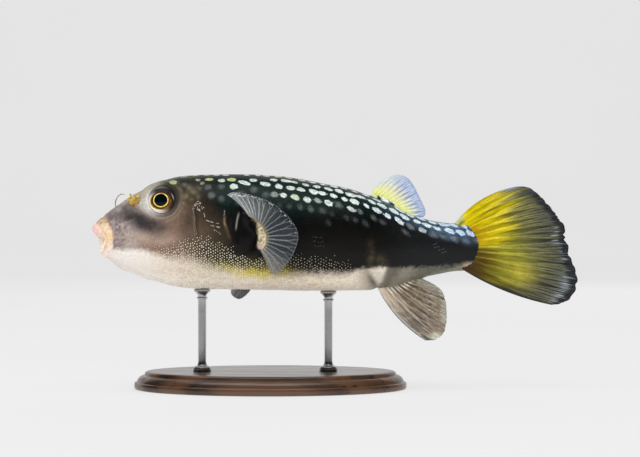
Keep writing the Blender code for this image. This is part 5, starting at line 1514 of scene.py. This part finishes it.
# ======================================================================== PRICKLES
SKIN_N = grid_normals(SKIN, True)
PRICKLE_TOP = [(-106, 70.0), (-100, 70.4), (-91, 71.2), (-83.6, 73.2), (-75.5, 75.8), (-71, 76.0), (-65, 75.0),
               (-58.8, 73.6), (-52.4, 71.4), (-46, 69.0), (-39.6, 67.4), (-30, 67.8), (-20.4, 68.4), (-12.8, 68.4),
               (-6.4, 66.8), (0.1, 66.6), (6.4, 63.6), (9.6, 61.8), (14, 60.6)]


def at_skin(grid, ri, cj):
    """Reads a grid over the skin between its points."""
    i0 = np.clip(np.floor(ri).astype(int), 0, NR - 2)
    fi = (ri - i0)
    j0 = np.floor(cj).astype(int) % NV
    fj = cj - np.floor(cj)
    j1 = (j0 + 1) % NV
    if grid.ndim == 3:
        fi, fj = fi[:, None], fj[:, None]
    return ((grid[i0, j0] * (1 - fi) + grid[i0 + 1, j0] * fi) * (1 - fj)
            + (grid[i0, j1] * (1 - fi) + grid[i0 + 1, j1] * fi) * fj)


def prickle_roots(rng, gap, s0, s1, keep):
    """Staggered rows of roots over the skin, as (row, column) places between its points."""
    out = []
    for n, s in enumerate(np.arange(s0, s1, gap * 0.87)):
        ri = np.interp(s, PLACES, np.arange(NR))
        arc = ARC[int(ri)]
        places = np.arange(arc[0] + gap * 0.5 * (n % 2), arc[-1], gap)
        places = places + rng.normal(0, gap * 0.12, len(places))
        row = np.interp(s + rng.normal(0, gap * 0.12, len(places)), PLACES, np.arange(NR))
        out.append(np.stack([row, np.interp(places, arc, np.arange(NV))], 1))
    out = np.vstack(out)
    base = at_skin(BASE, out[:, 0], out[:, 1])
    return out[keep(base, out)]


def lower_body(rng):
    def keep(p, rc):
        top = through(PRICKLE_TOP, p[:, 0]) + 1.5 * rumple(p, 7.0, 15)
        chance = step(1.6, -3.4, p[:, 2] - top) * (1 - step(7.0, 14.0, p[:, 0])) * step(-107.0, -96.0, p[:, 0])
        hidden = at_skin(MEASURE["gill"] + MEASURE["lobe"], rc[:, 0], rc[:, 1]) > 0.12
        pit = (p[:, 0] > -49.5) & (p[:, 0] < -36.0) & (p[:, 2] > 67.0)
        return (rng.random(len(p)) < chance) & ~hidden & ~pit
    return keep


def fin_lobe(rng):
    def keep(p, rc):
        strip = at_skin(MEASURE["strip"], rc[:, 0], rc[:, 1])
        return rng.random(len(p)) < strip * 1.2 - 0.2
    return keep


def prickle_material():
    n = Nodes("prickle", roughness=0.34, Coat_Weight=0.15, Coat_Roughness=0.2)
    g = n.noise(4200, 2, 0.5)
    n.to(Base_Color=n.mix(n.span(g, 0.3, 0.7, 0.0, 0.10), n.attribute("paint"), tuple(linear(170, 152, 116))),
         Roughness=n.span(g, 0.3, 0.7, 0.28, 0.44))
    return n.m


# Silvery dashes in the skin: lines of (x, z), how many, length and width of each, and scatter.
DASHES = [([(-71.6, 92.2), (-68.4, 92.6), (-67.0, 90.2), (-70.8, 89.6), (-70.0, 92.4), (-67.6, 88.4)], 20, 1.25, 0.30, 0.5),
          ([(-66.3, 87.6), (-65.7, 85.6)], 3, 1.0, 0.28, 0.1),
          ([(-65.2, 84.2), (-63.0, 83.6), (-61.2, 83.0)], 5, 1.2, 0.30, 0.1),
          ([(-62.6, 81.4), (-60.8, 81.2)], 3, 1.1, 0.30, 0.1),
          ([(-59.8, 82.6), (-58.2, 82.4)], 2, 0.9, 0.28, 0.1),
          ([(-59.6, 80.8), (-57.9, 80.6)], 3, 1.0, 0.34, 0.1),
          ([(-61.5, 79.1), (-58.1, 78.6), (-57.5, 76.7)], 4, 0.8, 0.34, 0.2),
          ([(-72.0, 90.4), (-71.3, 86.0), (-70.9, 81.6), (-70.2, 78.0), (-69.9, 75.2)], 20, 0.62, 0.15, 0.12),
          ([(-55.1, 88.8), (-55.4, 86.2)], 3, 0.7, 0.28, 0.1),
          ([(-11.5, 76.0), (-8.5, 75.8), (-6.0, 76.2)], 5, 1.0, 0.22, 0.25),
          ([(-11.0, 73.9), (-8.0, 73.5), (-5.4, 73.9)], 5, 1.0, 0.22, 0.25),
          ([(-10.2, 71.9), (-7.4, 71.5), (-5.0, 71.8)], 4, 0.9, 0.22, 0.25),
          ([(48.9, 71.9), (51.4, 73.0)], 3, 1.4, 0.42, 0.06),
          ([(49.2, 70.6), (52.5, 71.3)], 3, 1.6, 0.42, 0.06),
          ([(51.5, 69.2), (54.7, 70.1)], 3, 1.6, 0.42, 0.06),
          ([(53.0, 67.9), (56.0, 68.8)], 3, 1.5, 0.42, 0.06)]


def on_grid(x, z, side):
    """Rows and columns of the skin's grid for places (x, z) on one flank."""
    ri = np.interp(x, PLACES, np.arange(NR))
    cj = []
    for r, h in zip(ri, z):
        i = int(r)
        c = float(np.interp(h, BZ[i, HALF // 5:HALF + 1], np.arange(HALF // 5, HALF + 1)))
        cj.append(c if side < 0 else NV - c)
    return ri, np.array(cj)


def build_prickles():
    rng = np.random.default_rng(23)
    roots = np.vstack([prickle_roots(rng, 1.38, -107.0, -36.0, lower_body(rng)),
                       prickle_roots(rng, 1.52, -36.0, 15.0, lower_body(rng))])
    fine = prickle_roots(rng, 0.70, -50.0, -28.0, fin_lobe(rng))
    dash_rc, dash_dir, dash_size = [], [], []
    for side in (-1, 1):
        for pts, count, long, wide, loose in DASHES:
            line = smooth_line(np.array(pts) + (0.0 if side < 0 else -0.9), count + 1)
            at = (line[:-1] + line[1:]) / 2 + rng.normal(0, loose, (count, 2))
            way = line[1:] - line[:-1] + rng.normal(0, 0.25 * loose + 0.05, (count, 2))
            dash_rc.append(np.stack(on_grid(at[:, 0], at[:, 1], side), 1))
            dash_dir.append(np.stack([way[:, 0], np.zeros(count), way[:, 1]], 1))
            dash_size.append(np.stack([long * rng.uniform(0.35, 0.6, count), wide * rng.uniform(0.8, 1.2, count) * 0.62], 1))
    dash_rc, dash_dir, dash_size = np.vstack(dash_rc), np.vstack(dash_dir), np.vstack(dash_size)
    nr, nf, nd = len(roots), len(fine), len(dash_rc)
    ri = np.r_[roots[:, 0], fine[:, 0], dash_rc[:, 0]]
    cj = np.r_[roots[:, 1], fine[:, 1], dash_rc[:, 1]]
    is_dash = np.r_[np.zeros(nr + nf), np.ones(nd)] > 0.5
    small = np.r_[np.ones(nr), np.full(nf, 0.62), np.ones(nd)]
    P, N = at_skin(SKIN, ri, cj), at_skin(SKIN_N, ri, cj)
    N /= np.linalg.norm(N, axis=1)[:, None]
    face = 0.62 + 0.38 * step(-104.0, -78.0, P[:, 0])
    small = small * face * rng.uniform(0.82, 1.15, len(P))
    under = step(58.0, 52.0, P[:, 2])
    small = small * (1 - 0.25 * under) * (1 - 0.24 * step(-44.0, -30.0, P[:, 0]))
    rise = P[:, 2] - through(PRICKLE_TOP, P[:, 0])
    small = small * np.where(is_dash, 1.0, 1 - 0.34 * step(-5.5, 0.6, rise) * (np.arange(len(P)) < nr))
    radius, tall = 0.42 * small, 0.50 * small
    back = np.array([1.0, 0, 0]) - N * N[:, :1]
    back /= np.maximum(np.linalg.norm(back, axis=1), 1e-6)[:, None]
    back = back + np.cross(N, back) * rng.normal(0, 0.18, len(P))[:, None]
    long, broad = radius.copy(), radius.copy()
    d = dash_dir - N[is_dash] * (dash_dir * N[is_dash]).sum(1)[:, None]
    back[is_dash] = d
    back /= np.linalg.norm(back, axis=1)[:, None]
    long[is_dash], broad[is_dash], tall[is_dash] = dash_size[:, 0], dash_size[:, 1], 0.16
    aim = N + np.where(is_dash, 0.0, 0.55)[:, None] * back
    aim /= np.linalg.norm(aim, axis=1)[:, None]
    wide = np.cross(N, back)
    wide /= np.linalg.norm(wide, axis=1)[:, None]
    q = np.linspace(0, 2 * math.pi, 6, endpoint=False)
    ring = (back[:, None] * np.cos(q)[None, :, None] * long[:, None, None]
            + wide[:, None] * np.sin(q)[None, :, None] * broad[:, None, None])
    foot = P - N * 0.06
    low = foot[:, None] + ring
    mid = (P + aim * (tall * 0.52)[:, None])[:, None] + ring * np.where(is_dash, 0.80, 0.62)[:, None, None]
    tip = (P + aim * tall[:, None])[:, None]
    verts = np.concatenate([low, mid, tip], 1)
    own = at_skin(COLOUR, ri, cj)
    bright = own.mean(1)
    pale = mix(np.ones(own.shape) * linear(252, 244, 220), own, 0.12)
    pale = mix(pale, linear(190, 182, 160), 0.9 * step(-40.0, -24.0, P[:, 0]))
    yellow = step(1.8, 3.4, own[:, 1] / np.maximum(own[:, 2], 1e-4)) * step(0.10, 0.25, own[:, 1])
    pale = mix(pale, linear(250, 236, 150), yellow * 0.7)
    pale = mix(pale, np.minimum(own * 1.10, 1.0), 0.85 * step(0.50, 0.70, bright))
    shade = np.array([0.30] * 6 + [0.90] * 6 + [1.0])
    colour = own[:, None] * (1 - shade)[None, :, None] + pale[:, None] * shade[None, :, None]
    silver = linear(214, 208, 196) * np.array([0.5] * 6 + [1.0] * 7)[:, None]
    colour[is_dash] = silver[None] * rng.uniform(0.7, 1.05, nd)[:, None, None]
    tail_dash = is_dash & (P[:, 0] > -20)
    colour[tail_dash] *= np.where(P[tail_dash, 0] > 20, 0.05, 0.11)[:, None, None] * np.array([0.88, 1.0, 1.2])
    u = at_skin(UV_U[:, :-1], ri, cj)
    v = at_skin(VV[:, :-1], ri, cj)
    du = np.r_[np.cos(q) * 0.0015, np.cos(q) * 0.0008, 0.0]
    dv = np.r_[np.sin(q) * 0.0015, np.sin(q) * 0.0008, 0.0]
    faces = []
    for k in range(6):
        m = (k + 1) % 6
        faces.append([k, m, 6 + m, 6 + k])
        faces.append([6 + k, 6 + m, 12])
    faces.append([5, 4, 3, 2, 1, 0])
    for side, word in ((-1, "left"), (1, "right")):
        pick = np.where(P[:, 1] * side > 0)[0]
        allf, uvs = [], []
        for f in faces:
            allf.append((np.arange(len(pick)) * 13)[:, None] + np.array(f)[None])
            uvs.append(np.stack([u[pick][:, None] + du[f][None], v[pick][:, None] + dv[f][None]], -1))
        flat_faces = [row for a in allf for row in a.tolist()]
        flat_uv = np.vstack([a.reshape(-1, 2) for a in uvs])
        obj = make("prickles_" + word, posed(verts[pick]).reshape(-1, 3), flat_faces, PRICKLE_MAT, flat_uv)
        paint(obj, "paint", colour[pick].reshape(-1, 3))
        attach(obj, "root")
        print("prickles", word, len(pick), "roots")


PRICKLE_MAT = prickle_material()
build_prickles()

# =========================================================================== BEAK
def beak_material():
    n = Nodes("beak_enamel", roughness=0.24, Coat_Weight=0.3, Coat_Roughness=0.1)
    g = n.noise(620, 4, 0.6, stretch=(1.0, 1.0, 3.0))
    c = n.mix(n.span(g, 0.35, 0.7), tuple(linear(238, 228, 206)), tuple(linear(206, 182, 142)))
    n.to(Base_Color=c, Normal=n.bump(g, 0.0001, 0.4), Roughness=n.span(g, 0.3, 0.7, 0.2, 0.34))
    return n.m


BEAK_MAT = beak_material()
for word in ("beak_upper", "beak_lower"):
    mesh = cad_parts[word].data
    mesh.materials.clear()
    mesh.materials.append(BEAK_MAT)

# ========================================================================== STAND
BASE_X, BASE_LENGTH, BASE_WIDTH, BASE_HEIGHT = -32.0, 136.0, 86.0, 9.0
ROD_X, ROD_R, FOOT_R, FOOT_H = (-66.0, -3.0), 2.0, 4.5, 3.0


def wood_material():
    n = Nodes("stand_walnut", roughness=0.34, Coat_Weight=0.45, Coat_Roughness=0.12)
    big = n.noise(11, 4, 0.55, 0.5, stretch=(1.0, 7.0, 7.0))
    rings = n.add("ShaderNodeTexWave", wave_type="BANDS", bands_direction="Y")
    rings.inputs["Scale"].default_value = 22
    rings.inputs["Distortion"].default_value = 5.5
    rings.inputs["Detail"].default_value = 3
    rings.inputs["Detail Scale"].default_value = 0.7
    n.link(n.coords((0.25, 1.0, 1.0)), rings.inputs["Vector"])
    rings = rings.outputs["Fac"]
    pores = n.noise(420, 3, 0.6, stretch=(0.08, 1.0, 1.0))
    c = n.mix(n.span(rings, 0.15, 0.85), tuple(linear(84, 56, 38)), tuple(linear(46, 29, 20)))
    c = n.mix(n.span(big, 0.35, 0.65, 0.0, 0.5), c, tuple(linear(102, 70, 46)))
    c = n.mix(n.span(pores, 0.56, 0.68, 0.0, 0.75), c, tuple(linear(24, 15, 11)))
    h = n.math("SUBTRACT", n.math("MULTIPLY", rings, 0.15), n.span(pores, 0.56, 0.66, 0.0, 0.6))
    n.to(Base_Color=c, Normal=n.bump(h, 0.0002, 0.5), Roughness=n.span(pores, 0.4, 0.7, 0.3, 0.46))
    return n.m


def steel_material():
    n = Nodes("stand_steel", roughness=0.28, Metallic=1.0)
    brush = n.noise(900, 3, 0.6, stretch=(1.0, 1.0, 0.04))
    turn = n.noise(700, 2, 0.5, stretch=(0.06, 0.06, 1.6))
    both = n.math("ADD", n.math("MULTIPLY", brush, 0.5), n.math("MULTIPLY", turn, 0.5))
    n.to(Base_Color=n.mix(n.span(both, 0.35, 0.65), tuple(linear(184, 184, 186)), tuple(linear(196, 196, 198))),
         Roughness=n.span(both, 0.3, 0.7, 0.28, 0.36))
    return n.m


def pad_material():
    n = Nodes("stand_pad", roughness=0.85)
    g = n.noise(3000, 3, 0.7)
    n.to(Base_Color=n.mix(n.span(g, 0.3, 0.7), tuple(linear(38, 38, 40)), tuple(linear(66, 66, 68))),
         Normal=n.bump(g, 0.0002, 0.8), Roughness=n.span(g, 0.3, 0.7, 0.78, 0.92))
    return n.m


def build_base():
    """An oval plinth with a moulded edge: bead, cove and a small step under the flat top."""
    profile = [(1.4, 0.0), (0.5, 0.25), (0.12, 0.7), (0.0, 1.3), (0.0, 2.7), (0.15, 3.2), (0.5, 3.55), (1.1, 3.7),
               (1.35, 3.8), (1.45, 4.1), (1.6, 4.7), (2.0, 5.4), (2.6, 6.05), (3.4, 6.6), (4.3, 6.95), (4.9, 7.05),
               (5.1, 7.2), (5.15, 7.5), (5.3, 8.1), (5.7, 8.6), (6.3, 8.9), (7.1, 9.0), (9.5, 9.0), (20.0, 9.0),
               (32.0, 9.0), (40.5, 9.0)]
    cols = 180
    a = np.linspace(0, 2 * math.pi, cols, endpoint=False)
    rows = []
    for inset, z in profile:
        rows.append(np.stack([BASE_X + (BASE_LENGTH / 2 - inset) * np.cos(a),
                              (BASE_WIDTH / 2 - inset) * np.sin(a), np.full(cols, z)], 1))
    p = np.array(rows) * MM
    k = np.array([0.49 - 0.47 * i / (len(profile) - 1) for i in range(len(profile))])
    ca, sa = np.cos(np.r_[a, a[0]]), np.sin(np.r_[a, a[0]])
    obj = tube("stand_base_moulded", p, wood_material(), 0.5 + np.outer(k, ca), 0.5 + np.outer(k, sa), flip=True)
    mesh = obj.data
    mesh.set_sharp_from_angle(angle=math.radians(38))
    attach(obj, "root")
    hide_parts("stand_base")


def belly_z(x, y):
    k = [float(pchip(SECTIONS[:, 0], SECTIONS[:, c], x)) for c in range(1, 7)]
    level = k[1] + k[3] * (k[0] - k[1])
    r = np.clip(abs(y) / k[2], 0, 1)
    return level - (level - k[1]) * (1 - r ** k[5]) ** (1 / k[5])


def build_rod(word, x):
    """A turned steel post: flange, stem and a shallow cup that follows the belly, with a
    thin pad in it."""
    z0, cup = BASE_HEIGHT + 0.02, 4.1
    low = float(belly_z(x, 0.0))
    centre = posed(np.array([[x, 0.0, 0.0]]))[0] / MM
    cols = 56
    a = np.linspace(0, 2 * math.pi, cols, endpoint=False)
    turn = np.interp(x, _S, _TURN)
    profile = [(FOOT_R - 0.15, z0), (FOOT_R, z0 + 0.2), (FOOT_R, z0 + 1.7), (FOOT_R - 0.25, z0 + 2.1),
               (FOOT_R - 0.9, z0 + 2.45), (3.0, z0 + 2.65), (2.5, z0 + 3.0), (2.2, z0 + 3.8), (ROD_R, z0 + 5.0),
               (ROD_R, z0 + 12.0), (ROD_R, low - 10.0), (ROD_R, low - 6.0), (2.1, low - 5.2), (2.6, low - 5.0),
               (2.7, low - 4.6), (2.6, low - 4.2), (2.1, low - 4.0), (2.2, low - 3.2), (2.9, low - 2.3),
               (3.6, low - 1.6), (cup, low - 1.2)]
    rows = [np.stack([centre[0] + r * np.cos(a), centre[1] + r * np.sin(a), np.full(cols, z)], 1)
            for r, z in profile]
    ly = r_local = None
    top = []
    for r, drop in ((cup, 0.55), (cup - 0.15, 0.42), (cup - 0.6, 0.40)):
        lx, ly = r * np.cos(a - turn), r * np.sin(a - turn)
        z = belly_z(x, ly) - drop
        top.append(np.stack([centre[0] + r * np.cos(a), centre[1] + r * np.sin(a), z], 1))
    p = np.array(rows + top) * MM
    n = len(p)
    v = np.linspace(0.02, 0.98, n)
    u = np.linspace(0.02, 0.98, cols + 1)
    obj = tube("stand_post_" + word, p, STEEL, np.repeat(u[None], n, 0), np.repeat(v[:, None], cols + 1, 1), flip=True)
    obj.data.set_sharp_from_angle(angle=math.radians(40))
    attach(obj, "root")
    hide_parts("stand_rod_" + word)
    rows = []
    for r, drop in ((0.6, 0.42), (cup - 0.9, 0.42), (cup - 0.45, 0.38), (cup - 0.4, 0.2), (cup - 0.45, 0.02),
                    (cup - 0.9, -0.02), (0.6, -0.02)):
        ly = r * np.sin(a - turn)
        rows.append(np.stack([centre[0] + r * np.cos(a), centre[1] + r * np.sin(a), belly_z(x, ly) - drop], 1))
    p = np.array(rows) * MM
    n = len(p)
    obj = tube("stand_pad_" + word, p, PAD, np.repeat(u[None], n, 0), np.repeat(np.linspace(0.02, 0.98, n)[:, None], cols + 1, 1), flip=True)
    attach(obj, "root")


STEEL, PAD = steel_material(), pad_material()
build_base()
for word, x in (("front", ROD_X[0]), ("rear", ROD_X[1])):
    build_rod(word, x)

# ========================================================================== STAGE
def build_stage():
    n = Nodes("studio_sweep", roughness=0.9)
    g = n.noise(3, 2, 0.5)
    n.to(Base_Color=n.mix(n.span(g, 0.3, 0.7), (0.205, 0.205, 0.205), (0.215, 0.215, 0.215)))
    n.p.inputs["Specular IOR Level"].default_value = 0.0
    n.p.inputs["Emission Color"].default_value = (1.0, 1.0, 1.0, 1.0)
    n.p.inputs["Emission Strength"].default_value = 0.652
    line = [(-4.0, 0.0), (-2.0, 0.0), (0.0, 0.0), (1.2, 0.0), (2.0, 0.0)]
    line += [(2.0 + 1.2 * math.sin(t), 1.2 - 1.2 * math.cos(t)) for t in np.linspace(0.05, math.pi / 2, 24)]
    line += [(3.2, 2.2), (3.2, 4.0)]
    xs = np.linspace(-5, 5, 9)
    p = np.array([[(x, y, z) for x in xs] for y, z in line])
    obj = make("studio_floor", p, grid_faces(len(line), len(xs))[:, ::-1], n.m)


def area(name, at, aim, size, power, colour=(1, 1, 1), shine=True):
    data = bpy.data.lights.new(name, "AREA")
    data.shape, data.size, data.size_y = "RECTANGLE", *size
    data.energy, data.color = power, colour
    obj = bpy.data.objects.new(name, data)
    obj.location = at
    obj.rotation_euler = (Vector(aim) - Vector(at)).to_track_quat("-Z", "Y").to_euler()
    obj.visible_glossy = shine
    obj.visible_camera = False
    bpy.context.scene.collection.objects.link(obj)


build_stage()
area("top_soft", (-0.15, -0.25, 1.30), (-0.02, 0.0, 0.08), (1.3, 0.9), 8.0, (0.97, 0.985, 1.0))
area("front_soft", (-0.35, -1.60, 0.45), (-0.02, 0.0, 0.07), (1.4, 0.8), 8.0, shine=False)
area("low_soft", (-0.10, -1.10, 0.10), (-0.02, 0.0, 0.06), (1.0, 0.16), 2.6, (1.0, 0.985, 0.96), shine=False)
area("back_soft", (0.4, 1.5, 0.8), (0.0, 0.0, 0.08), (1.2, 0.8), 4.0, shine=False)
world = bpy.data.worlds.new("studio")
world.use_nodes = True
world.node_tree.nodes["Background"].inputs["Color"].default_value = (1, 1, 1, 1)
world.node_tree.nodes["Background"].inputs["Strength"].default_value = 0.45
world.cycles_visibility.glossy = False
bpy.context.scene.world = world

cam = bpy.data.cameras.new("camera")
cam.lens, cam.sensor_width, cam.clip_start = 100.0, 36.0, 0.01
camera = bpy.data.objects.new("camera", cam)
camera.location = (-0.00725, -0.8889, 0.0801)
camera.rotation_euler = (math.radians(90), 0, 0)
bpy.context.scene.collection.objects.link(camera)
bpy.context.scene.camera = camera
bpy.context.scene.view_settings.view_transform = "Standard"
